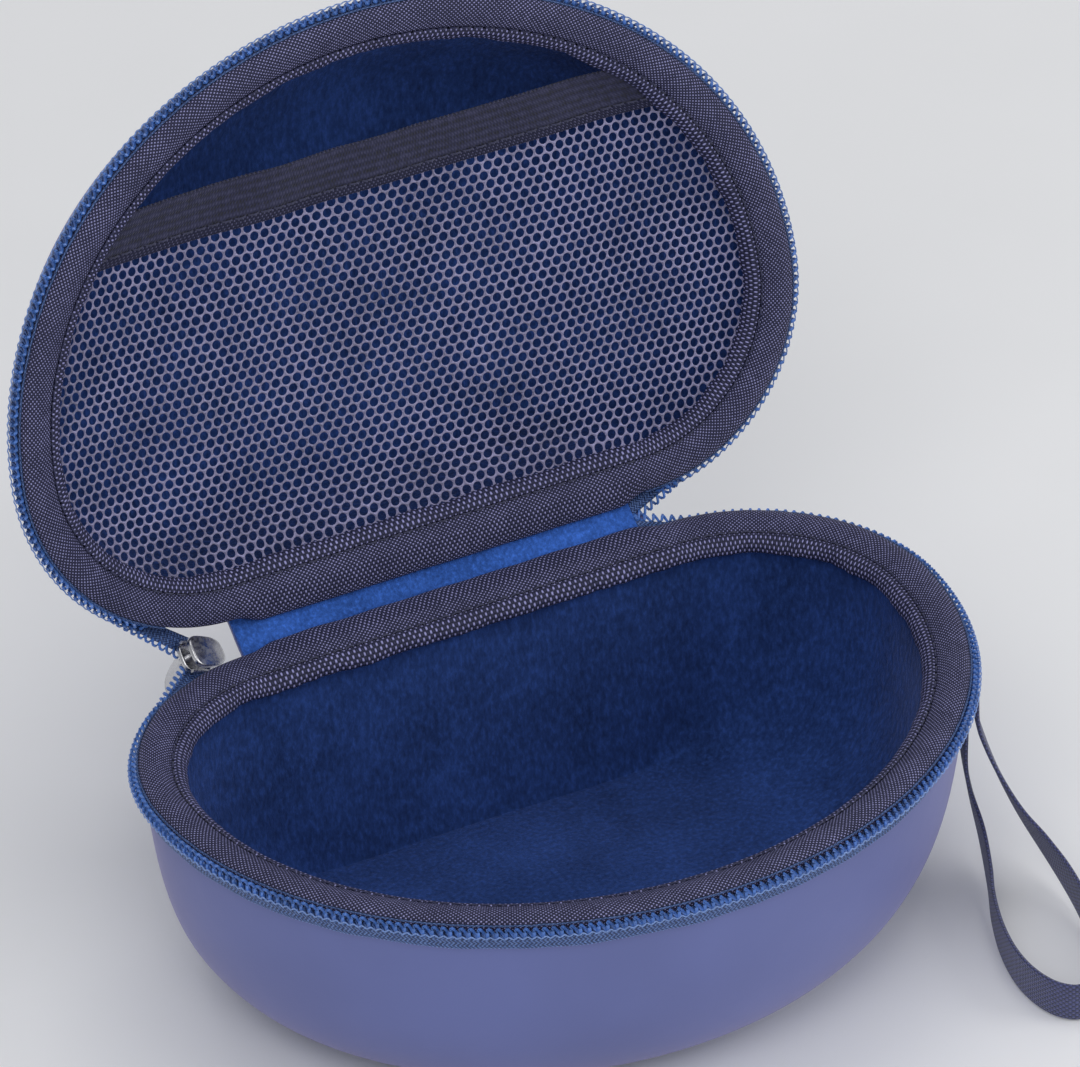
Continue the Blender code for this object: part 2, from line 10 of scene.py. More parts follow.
import bpy
import numpy as np
from bpy.props import FloatProperty, FloatVectorProperty, IntProperty, PointerProperty
from mathutils import Matrix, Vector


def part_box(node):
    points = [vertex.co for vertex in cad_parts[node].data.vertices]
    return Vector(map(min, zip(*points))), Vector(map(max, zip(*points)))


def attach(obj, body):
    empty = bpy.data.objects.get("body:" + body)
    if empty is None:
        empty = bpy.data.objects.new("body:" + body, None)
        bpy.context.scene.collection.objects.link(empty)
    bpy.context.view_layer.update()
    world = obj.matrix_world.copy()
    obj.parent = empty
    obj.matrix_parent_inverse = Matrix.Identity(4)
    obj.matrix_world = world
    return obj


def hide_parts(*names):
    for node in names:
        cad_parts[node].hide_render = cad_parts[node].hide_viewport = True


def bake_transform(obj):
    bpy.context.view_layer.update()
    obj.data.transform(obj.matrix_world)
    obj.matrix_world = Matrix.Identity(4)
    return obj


bl_info = {
    "name": "Headphone case looks",
    "version": (1, 0, 0),
    "blender": (4, 5, 0),
    "location": "3D View > Sidebar > Case",
    "description": "Skins, cloth, zipper, net and trims of a moulded headphone case",
    "category": "Object",
}

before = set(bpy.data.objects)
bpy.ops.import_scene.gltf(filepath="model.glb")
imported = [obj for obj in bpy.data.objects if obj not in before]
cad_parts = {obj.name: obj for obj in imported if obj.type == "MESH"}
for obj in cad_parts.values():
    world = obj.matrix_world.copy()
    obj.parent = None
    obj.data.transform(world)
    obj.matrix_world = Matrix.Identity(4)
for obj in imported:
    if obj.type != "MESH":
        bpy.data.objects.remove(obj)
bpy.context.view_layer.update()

MM = 0.001


def linear(hex_colour):
    """An sRGB hex colour as linear red, green and blue."""
    parts = [int(hex_colour[index:index + 2], 16) / 255 for index in (1, 3, 5)]
    return [part / 12.92 if part <= 0.04045 else ((part + 0.055) / 1.055) ** 2.4 for part in parts]


def colour(name, hex_colour, about):
    """A colour property that starts at an sRGB hex colour."""
    return FloatVectorProperty(name=name, description=about, default=linear(hex_colour),
                               size=3, min=0.0, max=1.0, subtype="COLOR")


def length(name, value, about):
    """A length property in metres."""
    return FloatProperty(name=name, description=about, default=value, min=0.0, precision=5,
                         subtype="DISTANCE", unit="LENGTH")


class CaseSizes(bpy.types.PropertyGroup):
    """Sizes of the case; the frame's own sizes are the defaults."""

    half_width: length("Half width", 0.105, "Half of the rim's width along the hinge")
    front_depth: length("Front depth", 0.094, "From the widest line to the front of the rim")
    corner_radius: length("Corner radius", 0.049, "Radius of the rim's two back corners")
    base_depth: length("Tub depth", 0.0685, "From the rim plane to the flat under the tub")
    lid_depth: length("Lid depth", 0.046, "From the rim plane to the top of the lid")
    hinge_y: length("Hinge line", 0.050, "Distance of the hinge from the widest line")
    spine_span: length("Spine span", 0.008, "Height of the bending strip")
    hinge_left: FloatProperty(name="Hinge left end", description="Where the strip ends, left",
                              default=-0.056, subtype="DISTANCE", unit="LENGTH")
    hinge_right: length("Hinge right end", 0.050, "Where the strip ends, right")
    lid_angle: FloatProperty(name="Lid angle", description="How far the lid leans back",
                             default=math.radians(105), subtype="ANGLE", unit="ROTATION")
    tooth_pitch: length("Tooth pitch", 0.00215, "Distance between two turns of the zipper coil")
    stitch_pitch: length("Stitch pitch", 0.0032, "Length of one sewn stitch")
    net_pitch: length("Net pitch", 0.0027, "Distance between two holes of the net")
    rim_rows: IntProperty(name="Rim steps", description="Steps round the rim", default=420, min=60)


class CaseColours(bpy.types.PropertyGroup):
    """Colours of the case's skins, cloths and threads."""

    skin: colour("Leather skin", "#5f69a0", "Coated skin over the moulded foam")
    velour: colour("Velour", "#263f78", "Napped lining")
    velour_hinge: colour("Hinge velour", "#3560b4", "Napped strip over the hinge")
    binding_dark: colour("Binding ground", "#191c3b", "Shaded threads of the binding")
    # binding_highlight is the pale tone painted on raised threads as a highlight, on the binding and
    # on the elastic's cords
    binding_highlight: colour("Binding thread", "#9797c8", "Raised threads of the binding")
    tape: colour("Zipper tape", "#37548f", "Woven zipper tape")
    coil: colour("Zipper coil", "#4a74be", "Nylon coil")
    thread: colour("Sewing thread", "#7593cc", "Thread along the coil")
    net: colour("Net", "#8784a6", "Knitted net")
    elastic: colour("Elastic", "#13163a", "Ribbed elastic")
    webbing: colour("Webbing", "#3c4068", "Wrist strap")
    steel: colour("Plated steel", "#c9c9cc", "Slider and pull")
    floor: colour("Floor", "#f4f4f4", "Paper that the case stands on")


# ---------------------------------------------------------------- places on the case

# Shell profile, as the frame's
SHELL_INSET = 2.8 * MM
SHELL_TOP = 4.5 * MM
SHELL_COLLAR = 3.0 * MM
SHELL_THICKNESS = 5.5 * MM
LID_SHELL_THICKNESS = 4.5 * MM
LINING_THICKNESS = 1.2 * MM
BASE_TAPER = 6.0 * MM
LID_TAPER = 12.0 * MM
BASE_ROUNDING = 50.0 * MM
LID_ROUNDING = 44.0 * MM
BACK_TAPER = 4.0 * MM
BACK_ROUNDING = 6.0 * MM
BASE_POWER = 3.2
LID_POWER = 2.6
GAP = 0.3 * MM
SLIDER_X = -67.7 * MM


def rim_table(sizes):
    """The rim curve as a dense table: lengths, places and inward normals.

    A quarter circle of the corner radius runs from the hinge line to the right side, half an
    ellipse round the front, and a second quarter circle back to the hinge line.
    """
    radius = sizes.corner_radius
    centre = sizes.half_width - radius
    turn = np.radians(np.linspace(90, 0, 200))
    right = np.stack([centre + radius * np.cos(turn), radius * np.sin(turn)], 1)
    right_normal = -np.stack([np.cos(turn), np.sin(turn)], 1)
    turn = -np.radians(np.linspace(0, 180, 900))[1:]
    front = np.stack([sizes.half_width * np.cos(turn), sizes.front_depth * np.sin(turn)], 1)
    front_normal = -np.stack([np.cos(turn) / sizes.half_width, np.sin(turn) / sizes.front_depth], 1)
    front_normal /= np.linalg.norm(front_normal, axis=1, keepdims=True)
    left = (right * [-1, 1])[::-1][1:]
    left_normal = (right_normal * [-1, 1])[::-1][1:]
    places = np.concatenate([right, front, left])
    normals = np.concatenate([right_normal, front_normal, left_normal])
    steps = np.linalg.norm(np.diff(places, axis=0), axis=1)
    return np.concatenate([[0.0], np.cumsum(steps)]), places, normals


def rim_at(sizes, along):
    """Places and inward normals of the rim at lengths along it; past its end it runs straight
    along the hinge side, back to the start."""
    lengths, places, normals = rim_table(sizes)
    side = 2 * (sizes.half_width - sizes.corner_radius)
    lengths = np.concatenate([lengths, [lengths[-1] + side]])
    places = np.concatenate([places, places[:1]])
    normals = np.concatenate([normals, [[0.0, -1.0]]])
    wrapped = np.mod(along, lengths[-1])
    place = np.stack([np.interp(wrapped, lengths, places[:, axis]) for axis in (0, 1)], 1)
    normal = np.stack([np.interp(wrapped, lengths, normals[:, axis]) for axis in (0, 1)], 1)
    return place, normal / np.linalg.norm(normal, axis=1, keepdims=True)


def rim_lengths(sizes):
    """Length of the zipped run, and of the whole closed rim."""
    run = rim_table(sizes)[0][-1]
    return run, run + 2 * (sizes.half_width - sizes.corner_radius)


def corner_length(sizes, degrees, side):
    """Length along the rim of a corner angle, counted from the widest line to the hinge line."""
    arc = sizes.corner_radius * math.radians(90 - degrees)
    return arc if side > 0 else rim_lengths(sizes)[0] - arc


def tilt(points, angle):
    """Points turned about the hinge direction by an angle of opening."""
    cos, sin = math.cos(angle), math.sin(angle)
    y, z = points[..., 1], points[..., 2]
    return np.stack([points[..., 0], y * cos + z * sin, -y * sin + z * cos], -1)


def seat(sizes, points, half):
    """Shut places (x, y, depth) moved to where the base, the spine or the lid holds them."""
    line = np.array([0.0, sizes.hinge_y, sizes.base_depth - sizes.spine_span / 2])
    if half == "base":
        return points * [1, 1, -1] + [0, 0, sizes.base_depth]
    shut = points + [0, 0, sizes.base_depth]
    if half == "spine":
        return line + tilt(shut - line, sizes.lid_angle / 2)
    top = line + [0, 0, sizes.spine_span]
    folded = tilt(shut - top, sizes.lid_angle / 2) + [0, 0, sizes.spine_span]
    return line + tilt(folded, sizes.lid_angle / 2)


def smooth_path(points, count):
    """A Catmull-Rom curve through control rows, read at count equal steps of its parameter."""
    points = np.asarray(points, float)
    padded = np.concatenate([2 * points[:1] - points[1:2], points, 2 * points[-1:] - points[-2:-1]])
    place = np.linspace(0, len(points) - 1, count)
    index = np.minimum(place.astype(int), len(points) - 2)
    t = (place - index)[:, None]
    a, b, c, d = (padded[index + step] for step in range(4))
    return 0.5 * (2 * b + (c - a) * t + (2 * a - 5 * b + 4 * c - d) * t ** 2
                  + (3 * b - a - 3 * c + d) * t ** 3)


def waves(along, seed, size, shortest, longest):
    """A smooth uneven ripple: six sine waves of mixed lengths between two real lengths."""
    mixed = np.random.default_rng(seed)
    total = np.zeros_like(along)
    for _ in range(6):
        total += np.sin(2 * math.pi * along / mixed.uniform(shortest, longest)
                        + mixed.uniform(0, 2 * math.pi))
    return size * total / 2.5


# ---------------------------------------------------------------- meshes

def volume(points, groups):
    """Signed volume inside the faces, by the sum of cone volumes to the middle."""
    middle = points.mean(0)
    total = 0.0
    for faces in groups:
        for corner in range(1, faces.shape[1] - 1):
            a, b, c = (points[faces[:, index]] - middle for index in (0, corner, corner + 1))
            total += np.einsum("ij,ij->i", a, np.cross(b, c)).sum()
    return total


def piece(name, points, groups, look, body=None, uv=None, closed=True):
    """A mesh object from points and groups of equal-sided faces; a closed one faces outwards.

    uv gives each point's pattern place in millimetres, one array per group of face corners.
    """
    if closed and volume(points, groups) < 0:
        groups = [faces[:, ::-1] for faces in groups]
        uv = [corners[:, ::-1] for corners in uv] if uv else None
    mesh = bpy.data.meshes.new(name)
    mesh.vertices.add(len(points))
    mesh.vertices.foreach_set("co", np.ascontiguousarray(points, np.float32).ravel())
    sides = np.concatenate([np.full(len(faces), faces.shape[1]) for faces in groups])
    mesh.loops.add(int(sides.sum()))
    mesh.loops.foreach_set("vertex_index", np.concatenate([faces.ravel() for faces in groups]))
    mesh.polygons.add(len(sides))
    mesh.polygons.foreach_set("loop_start", np.concatenate([[0], np.cumsum(sides)[:-1]]))
    if uv:
        layer = mesh.uv_layers.new(name="pattern")
        flat = np.concatenate([corners.reshape(-1, 2) for corners in uv])
        layer.data.foreach_set("uv", flat.astype(np.float32).ravel())
    mesh.update(calc_edges=True)
    mesh.shade_smooth()
    mesh.set_sharp_from_angle(angle=math.radians(50))
    made = bpy.data.objects.new(name, mesh)
    mesh.materials.append(look)
    bpy.context.scene.collection.objects.link(made)
    if body:
        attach(made, body)
    return made


def grid_faces(rows, columns, wrap_rows, wrap_columns):
    """Four-sided faces of a grid, with the row and column steps of each corner."""
    row = np.arange(rows if wrap_rows else rows - 1)
    column = np.arange(columns if wrap_columns else columns - 1)
    row, column = (part.ravel() for part in np.meshgrid(row, column, indexing="ij"))
    corner_row = np.stack([row, row + 1, row + 1, row], 1)
    corner_column = np.stack([column, column, column + 1, column + 1], 1)
    faces = (corner_row % rows) * columns + corner_column % columns
    return faces, corner_row, corner_column


def surface(name, points, look, body=None, wrap_rows=False, wrap_columns=True, along=None,
            across=None, capped=True, closed=True):
    """A piece from a grid of points; along and across are pattern places in metres.

    Rows run along the piece and columns round its section. Open ends get a flat cap.
    """
    rows, columns = points.shape[:2]
    faces, corner_row, corner_column = grid_faces(rows, columns, wrap_rows, wrap_columns)
    groups = [faces]
    if along is None:
        along = np.arange(rows + 1) * MM
    if across is None:
        across = np.arange(columns + 1) * MM
    uv = [np.stack([along[corner_row], across[corner_column]], -1) / MM]
    if capped and wrap_columns and not wrap_rows:
        ends = np.stack([np.arange(columns)[::-1], np.arange(columns) + (rows - 1) * columns])
        groups.append(ends)
        uv.append(np.zeros(ends.shape + (2,)))
    return piece(name, points.reshape(-1, 3), groups, look, body, uv, closed)


def path_frames(path, face, closed=False):
    """Unit vectors along a path, across it and out of its face."""
    if closed:
        along = np.roll(path, -1, 0) - np.roll(path, 1, 0)
    else:
        along = np.gradient(path, axis=0)
    along /= np.linalg.norm(along, axis=1, keepdims=True)
    across = np.cross(along, face)
    across /= np.linalg.norm(across, axis=1, keepdims=True)
    return along, across, np.cross(across, along)


def sweep(path, face, profile, closed=False):
    """Carries a flat profile (across, outwards) along a path: a grid of points."""
    _, across, outward = path_frames(path, face, closed)
    return (path[:, None] + across[:, None] * profile[None, :, :1]
            + outward[:, None] * profile[None, :, 1:])


def circle(radius, sides, flat=1.0):
    """A round profile, squashed across its face by flat."""
    turn = 2 * math.pi * np.arange(sides) / sides
    return np.stack([radius * np.cos(turn), radius * flat * np.sin(turn)], 1)


def pill(width, thickness, sides, power=5.0):
    """A flat strap profile: a superellipse whose corners are rounded."""
    turn = 2 * math.pi * (np.arange(sides) + 0.5) / sides
    cos, sin = np.cos(turn), np.sin(turn)
    x = np.sign(cos) * np.abs(cos) ** (2 / power)
    y = np.sign(sin) * np.abs(sin) ** (2 / power)
    return np.stack([x * width / 2, y * thickness / 2], 1)


def lengths_along(path, closed=False):
    """Length from a path's start to each of its points, and once round when closed."""
    points = np.concatenate([path, path[:1]]) if closed else path
    return np.concatenate([[0.0], np.cumsum(np.linalg.norm(np.diff(points, axis=0), axis=1))])


def band(sizes, name, half, along, profile, look, body, closed):
    """A band round the rim: profile is (rows, columns, 2) of inset and depth."""
    place, normal = rim_at(sizes, along)
    flat = place[:, None] + normal[:, None] * profile[:, :, :1]
    points = seat(sizes, np.concatenate([flat, profile[:, :, 1:]], 2), half)
    across = lengths_along(profile[0], closed=True)
    lengths = np.append(along, along[-1] + (along[1] - along[0]))
    return surface(name, points, look, body, wrap_rows=closed, along=lengths, across=across)


# ---------------------------------------------------------------- materials

def add(tree, kind, values=None, links=None, **settings):
    """Adds a node: settings are its attributes, values its inputs, links the sockets it reads."""
    made = tree.nodes.new(kind)
    for key, value in settings.items():
        setattr(made, key, value)
    for key, value in (values or {}).items():
        made.inputs[key].default_value = value
    for key, socket in (links or {}).items():
        tree.links.new(socket, made.inputs[key])
    return made


def blank(name, base, roughness, **inputs):
    """A new material, its tree and its Principled shader with whole-surface values set."""
    made = bpy.data.materials.new(name)
    made.use_nodes = True
    shader = made.node_tree.nodes["Principled BSDF"]
    shader.inputs["Base Color"].default_value = (*base, 1.0)
    shader.inputs["Roughness"].default_value = roughness
    for key, value in inputs.items():
        shader.inputs[key.replace("_", " ")].default_value = value
    return made, made.node_tree, shader


def ramp(tree, factor, stops):
    """A colour ramp of (place, linear colour) stops."""
    made = add(tree, "ShaderNodeValToRGB", links={"Fac": factor})
    while len(made.color_ramp.elements) < len(stops):
        made.color_ramp.elements.new(0.5)
    for element, (place, tone) in zip(made.color_ramp.elements, stops):
        element.position = place
        element.color = (*tone, 1.0)
    return made.outputs["Color"]


def paint(tree, shader, factor, stops):
    """A colour ramp as the shader's base colour."""
    tree.links.new(ramp(tree, factor, stops), shader.inputs["Base Color"])


def scaled(tone, factor):
    """A linear colour made lighter or darker."""
    return [min(1.0, part * factor) for part in tone]


def mixed(one, other, share):
    """A linear colour between two others."""
    return [a + (b - a) * share for a, b in zip(one, other)]


def bump(tree, shader, height, distance, strength=1.0, under=None):
    """Raises a height field by a real distance; under is a coarser bump it lies on."""
    links = {"Height": height}
    if under:
        links["Normal"] = under
    made = add(tree, "ShaderNodeBump", {"Distance": distance, "Strength": strength}, links)
    tree.links.new(made.outputs["Normal"], shader.inputs["Normal"])
    return made.outputs["Normal"]


def object_noise(tree, size, detail=3.0, rough=0.5, stretch=(1, 1, 1)):
    """Noise in object space whose lumps are size metres across."""
    where = add(tree, "ShaderNodeTexCoord").outputs["Object"]
    if tuple(stretch) != (1, 1, 1):
        where = add(tree, "ShaderNodeMapping", {"Scale": stretch}, {"Vector": where}).outputs[0]
    made = add(tree, "ShaderNodeTexNoise",
               {"Scale": 1 / size, "Detail": detail, "Roughness": rough}, {"Vector": where})
    return made.outputs["Fac"]


def sine_of(tree, value, period, shift=0.0):
    """A sine over a pattern place in millimetres, with its period in millimetres."""
    scaled_place = add(tree, "ShaderNodeMath", {1: 2 * math.pi / period, 2: shift}, {0: value},
                       operation="MULTIPLY_ADD").outputs[0]
    return add(tree, "ShaderNodeMath", links={0: scaled_place}, operation="SINE").outputs[0]


def times(tree, one, other):
    """Product of two sockets."""
    return add(tree, "ShaderNodeMath", links={0: one, 1: other}, operation="MULTIPLY").outputs[0]


def pattern_place(tree):
    """The piece's own pattern places in millimetres: along it, then across it."""
    made = add(tree, "ShaderNodeUVMap", uv_map="pattern")
    apart = add(tree, "ShaderNodeSeparateXYZ", links={0: made.outputs["UV"]})
    return apart.outputs[0], apart.outputs[1], made.outputs["UV"]


def plain_weave(tree, along_period, across_period):
    """Plain weave: the product of two sines is +1 where a lengthwise thread is on top and -1
    where a crosswise one is; its absolute value is how far a thread rises."""
    along, across, place = pattern_place(tree)
    product = times(tree, sine_of(tree, along, along_period), sine_of(tree, across, across_period))
    height = add(tree, "ShaderNodeMath", links={0: product}, operation="ABSOLUTE").outputs[0]
    half = add(tree, "ShaderNodeMath", {1: 0.5, 2: 0.5}, {0: product}, operation="MULTIPLY_ADD")
    return half.outputs[0], height, place


def coated_leather(colours):
    """Polyurethane-coated leathercloth, heat-moulded over foam: an even satin skin with a very
    fine pebble grain, a soft pale bloom where it turns away and faint cloudiness."""
    made, tree, shader = blank("moulded_polyurethane_leather", colours.skin, 0.52,
                               Specular_IOR_Level=0.42, Sheen_Weight=0.28,
                               Sheen_Roughness=0.45, Sheen_Tint=(*linear("#d8c3d6"), 1.0))
    cloud = object_noise(tree, 0.045, 2.0)
    tones = [(0.30, scaled(colours.skin, 0.93)), (0.70, scaled(colours.skin, 1.07))]
    paint(tree, shader, cloud, tones)
    where = add(tree, "ShaderNodeTexCoord").outputs["Object"]
    # Pebbles are about 0.5 mm across
    pebble = add(tree, "ShaderNodeTexVoronoi", {"Scale": 1 / 0.0006}, {"Vector": where},
                 feature="SMOOTH_F1").outputs["Distance"]
    soft = bump(tree, shader, object_noise(tree, 0.012, 2.0), 0.00012)
    bump(tree, shader, pebble, 0.00003, 0.5, soft)
    return made


def napped(name, tone, grain=0.0011):
    """Velour: a knitted cloth with a brushed nap, dull head-on, lighter where fibres are seen
    from the side, with mottled strokes and the faint wales of its knit."""
    made, tree, shader = blank(name, tone, 0.92, Specular_IOR_Level=0.12, Sheen_Weight=0.55,
                               Sheen_Roughness=0.38,
                               Sheen_Tint=(*mixed(tone, (0.55, 0.62, 0.95), 0.45), 1.0))
    fibre = object_noise(tree, grain, 4.0, 0.7, (1.0, 1.0, 0.45))
    stroke = object_noise(tree, 0.020, 3.0, 0.6)
    both = add(tree, "ShaderNodeMath", {1: 0.45}, {0: stroke, 2: times(tree, fibre, fibre)},
               operation="MULTIPLY_ADD").outputs[0]
    tones = [(0.25, scaled(tone, 0.50)), (0.48, tone), (0.75, scaled(tone, 1.75))]
    paint(tree, shader, both, tones)
    bump(tree, shader, fibre, 0.00045, 0.9)
    return made


def woven_binding(colours, name="woven_polyester_binding", along=1.24, across=1.0, light=1.0):
    """Binding tape in plain-woven polyester: dark ground whose raised threads carry a painted
    highlight in a brick pattern, with painted shade darkest where the threads dip under each
    other. Real threads stand 0.3 mm apart; drawn at 0.6 mm so that they show."""
    made, tree, shader = blank(name, colours.binding_dark, 0.62, Specular_IOR_Level=0.3)
    weave, height, _ = plain_weave(tree, along, across)
    speck = object_noise(tree, 0.0011, 2.0, 0.6)
    worn = object_noise(tree, 0.009, 2.0)
    lift = add(tree, "ShaderNodeMath", {1: 0.42, 2: -0.21}, {0: speck}, operation="MULTIPLY_ADD")
    shown = add(tree, "ShaderNodeMath", links={0: weave, 1: lift.outputs[0]}, operation="ADD")
    drift = add(tree, "ShaderNodeMath", {1: 0.22, 2: -0.11}, {0: worn}, operation="MULTIPLY_ADD")
    shown = add(tree, "ShaderNodeMath", links={0: shown.outputs[0], 1: drift.outputs[0]},
                operation="ADD").outputs[0]
    pale = scaled(colours.binding_highlight, light)
    middle = mixed(colours.binding_dark, pale, 0.12)
    # The pale stop is a painted highlight on the raised threads; the darkest stop, where the threads
    # dip under each other, is painted shade.
    tones = [(0.10, mixed(colours.binding_dark, pale, 0.05)),
             (0.45, scaled(colours.binding_dark, 0.6)), (0.66, middle), (0.92, pale)]
    paint(tree, shader, shown, tones)
    bump(tree, shader, height, 0.00022, 0.8)
    return made


def zipper_cloth(colours, name="woven_zipper_tape"):
    """Zipper tape: tightly woven polyester in a small herringbone, a little shinier than the
    binding, with painted highlights on its rib crests and painted shade in its grooves. Its real
    rows are 0.5 mm apart; drawn at 1 mm so that they show."""
    made, tree, shader = blank(name, colours.tape, 0.55)
    along, across, _ = pattern_place(tree)
    side = sine_of(tree, across, 2.0)
    rows = add(tree, "ShaderNodeMath", {1: 2 * math.pi / 1.05}, {0: along},
               operation="MULTIPLY").outputs[0]
    bend = add(tree, "ShaderNodeMath", {1: 2.2}, {0: side, 2: rows},
               operation="MULTIPLY_ADD").outputs[0]
    rib = add(tree, "ShaderNodeMath", links={0: bend}, operation="SINE").outputs[0]
    grain = object_noise(tree, 0.0009, 2.0, 0.6)
    shown = add(tree, "ShaderNodeMath", {1: 0.30}, {0: rib, 2: grain},
                operation="MULTIPLY_ADD").outputs[0]
    # The colour follows the rib relief: the dark stop is painted shade in the grooves, the stop mixed
    # with the thread colour is a painted highlight on the crests.
    tones = [(0.20, scaled(colours.tape, 0.35)), (0.50, colours.tape),
             (0.85, mixed(colours.tape, colours.thread, 0.65))]
    paint(tree, shader, shown, tones)
    bump(tree, shader, rib, 0.00016, 0.8)
    return made


def nylon(colours):
    """Moulded nylon monofilament of the coil: smooth, slightly glossy, with a little light let
    in at its edges, so each turn has a bright tip."""
    made, tree, shader = blank("nylon_zipper_coil", colours.coil, 0.30, Coat_Weight=0.25,
                               Coat_Roughness=0.20)
    shade = object_noise(tree, 0.004, 2.0)
    tones = [(0.3, scaled(colours.coil, 0.75)), (0.7, scaled(colours.coil, 1.25))]
    paint(tree, shader, shade, tones)
    bump(tree, shader, object_noise(tree, 0.0006, 1.0), 0.00003, 0.5)
    return made


def spun_thread(name, tone):
    """Twisted polyester sewing thread: a fine slanted twist and a soft shine."""
    made, tree, shader = blank(name, tone, 0.55, Sheen_Weight=0.2)
    twist = object_noise(tree, 0.0005, 2.0, 0.6)
    tones = [(0.3, scaled(tone, 0.62)), (0.7, scaled(tone, 1.25))]
    paint(tree, shader, twist, tones)
    bump(tree, shader, twist, 0.00008, 0.7)
    return made


def knitted_net(colours):
    """Warp-knitted polyester net: matt loops of fine yarn, with a painted highlight on top of
    each thread and painted shade where it sinks.
    """
    made, tree, shader = blank("warp_knitted_net", colours.net, 0.70, Sheen_Weight=0.25)
    loops = object_noise(tree, 0.0008, 3.0, 0.65)
    patch = object_noise(tree, 0.018, 2.0)
    both = add(tree, "ShaderNodeMath", {1: 0.5}, {0: patch, 2: times(tree, loops, loops)},
               operation="MULTIPLY_ADD").outputs[0]
    # The loops' bump height also lightens the colour: painted highlight on the raised yarn, painted
    # shade where it sinks; the patch noise is a random mottle.
    tones = [(0.25, scaled(colours.net, 0.45)), (0.50, colours.net),
             (0.75, scaled(colours.net, 1.45))]
    paint(tree, shader, both, tones)
    bump(tree, shader, loops, 0.00018, 0.9)
    return made


def ribbed_elastic(colours):
    """Woven elastic: rubber-cored cords side by side, wrapped in matt yarn that shows as fine
    crosswise ticks 0.7 mm apart, with a painted highlight on each cord's crest and painted shade
    in the grooves."""
    made, tree, shader = blank("woven_ribbed_elastic", colours.elastic, 0.75, Sheen_Weight=0.2)
    along, across, _ = pattern_place(tree)
    tick = sine_of(tree, along, 0.75)
    cord = sine_of(tree, across, 1.9, -1.2)
    both = times(tree, tick, cord)
    grain = object_noise(tree, 0.0014, 2.0, 0.6)
    shown = add(tree, "ShaderNodeMath", {1: 0.22}, {0: both, 2: grain},
                operation="MULTIPLY_ADD").outputs[0]
    shown = add(tree, "ShaderNodeMath", {1: 0.16}, {0: cord, 2: shown},
                operation="MULTIPLY_ADD").outputs[0]
    # The colour follows the bump height: the dark stop is painted shade in the grooves, the pale
    # stop, mixed with the binding highlight, is a painted highlight on the crests.
    tones = [(0.22, scaled(colours.elastic, 0.35)), (0.50, colours.elastic),
             (0.85, mixed(colours.elastic, colours.binding_highlight, 0.07))]
    paint(tree, shader, shown, tones)
    bump(tree, shader, shown, 0.00025, 0.9)
    return made


def woven_webbing(colours):
    """Polyester webbing: a tight rib weave with crosswise ribs 0.9 mm apart, split by
    lengthwise rows, and a slightly shiny yarn."""
    made, tree, shader = blank("ribbed_polyester_webbing", colours.webbing, 0.60,
                               Sheen_Weight=0.25)
    weave, height, _ = plain_weave(tree, 1.5, 1.25)
    grain = object_noise(tree, 0.0016, 2.0, 0.6)
    shown = add(tree, "ShaderNodeMath", {1: 0.5}, {0: grain, 2: times(tree, weave, weave)},
                operation="MULTIPLY_ADD").outputs[0]
    tones = [(0.20, scaled(colours.webbing, 0.45)), (0.55, colours.webbing),
             (0.95, scaled(colours.webbing, 1.9))]
    paint(tree, shader, shown, tones)
    bump(tree, shader, height, 0.00025, 0.8)
    return made


def plated_steel(colours):
    """Nickel-plated steel: bright, faintly brushed, with a few rubbed spots."""
    made, tree, shader = blank("nickel_plated_steel", colours.steel, 0.24, Metallic=1.0)
    rub = object_noise(tree, 0.0012, 3.0, 0.6, (0.3, 1, 1))
    tones = [(0.3, (0.16, 0.16, 0.16)), (0.75, (0.40, 0.40, 0.40))]
    tree.links.new(ramp(tree, rub, tones), shader.inputs["Roughness"])
    bump(tree, shader, rub, 0.00002, 0.4)
    return made


def seamless_paper(colours):
    """Matt background paper, with a barely visible mottle."""
    made, tree, shader = blank("seamless_paper", colours.floor, 0.9)
    mottle = object_noise(tree, 0.06, 2.0)
    tones = [(0.3, scaled(colours.floor, 0.985)), (0.7, colours.floor)]
    paint(tree, shader, mottle, tones)
    return made


LOOKS = {}


def look(key):
    """The material for a kind of surface, made once."""
    colours = bpy.context.scene.case_colours
    makers = {
        "skin": coated_leather,
        "velour": lambda tones: napped("navy_velour", tones.velour),
        "hinge": lambda tones: napped("hinge_velour", tones.velour_hinge, 0.0009),
        "binding": woven_binding,
        "gathered": lambda tones: woven_binding(tones, "gathered_binding", 1.5, 2.4, 1.1),
        "hem": lambda tones: woven_binding(tones, "hem_braid", 1.1, 1.4, 0.28),
        "tape": zipper_cloth,
        "coil": nylon,
        "thread": lambda tones: spun_thread("zipper_sewing_thread", tones.thread),
        "dark_thread": lambda tones: spun_thread("seam_sewing_thread",
                                                 scaled(tones.binding_dark, 1.6)),
        "net": knitted_net,
        "elastic": ribbed_elastic,
        "webbing": woven_webbing,
        "steel": plated_steel,
        "floor": seamless_paper,
    }
    if key not in LOOKS:
        LOOKS[key] = makers[key](colours)
    return LOOKS[key]


# ---------------------------------------------------------------- moulded halves

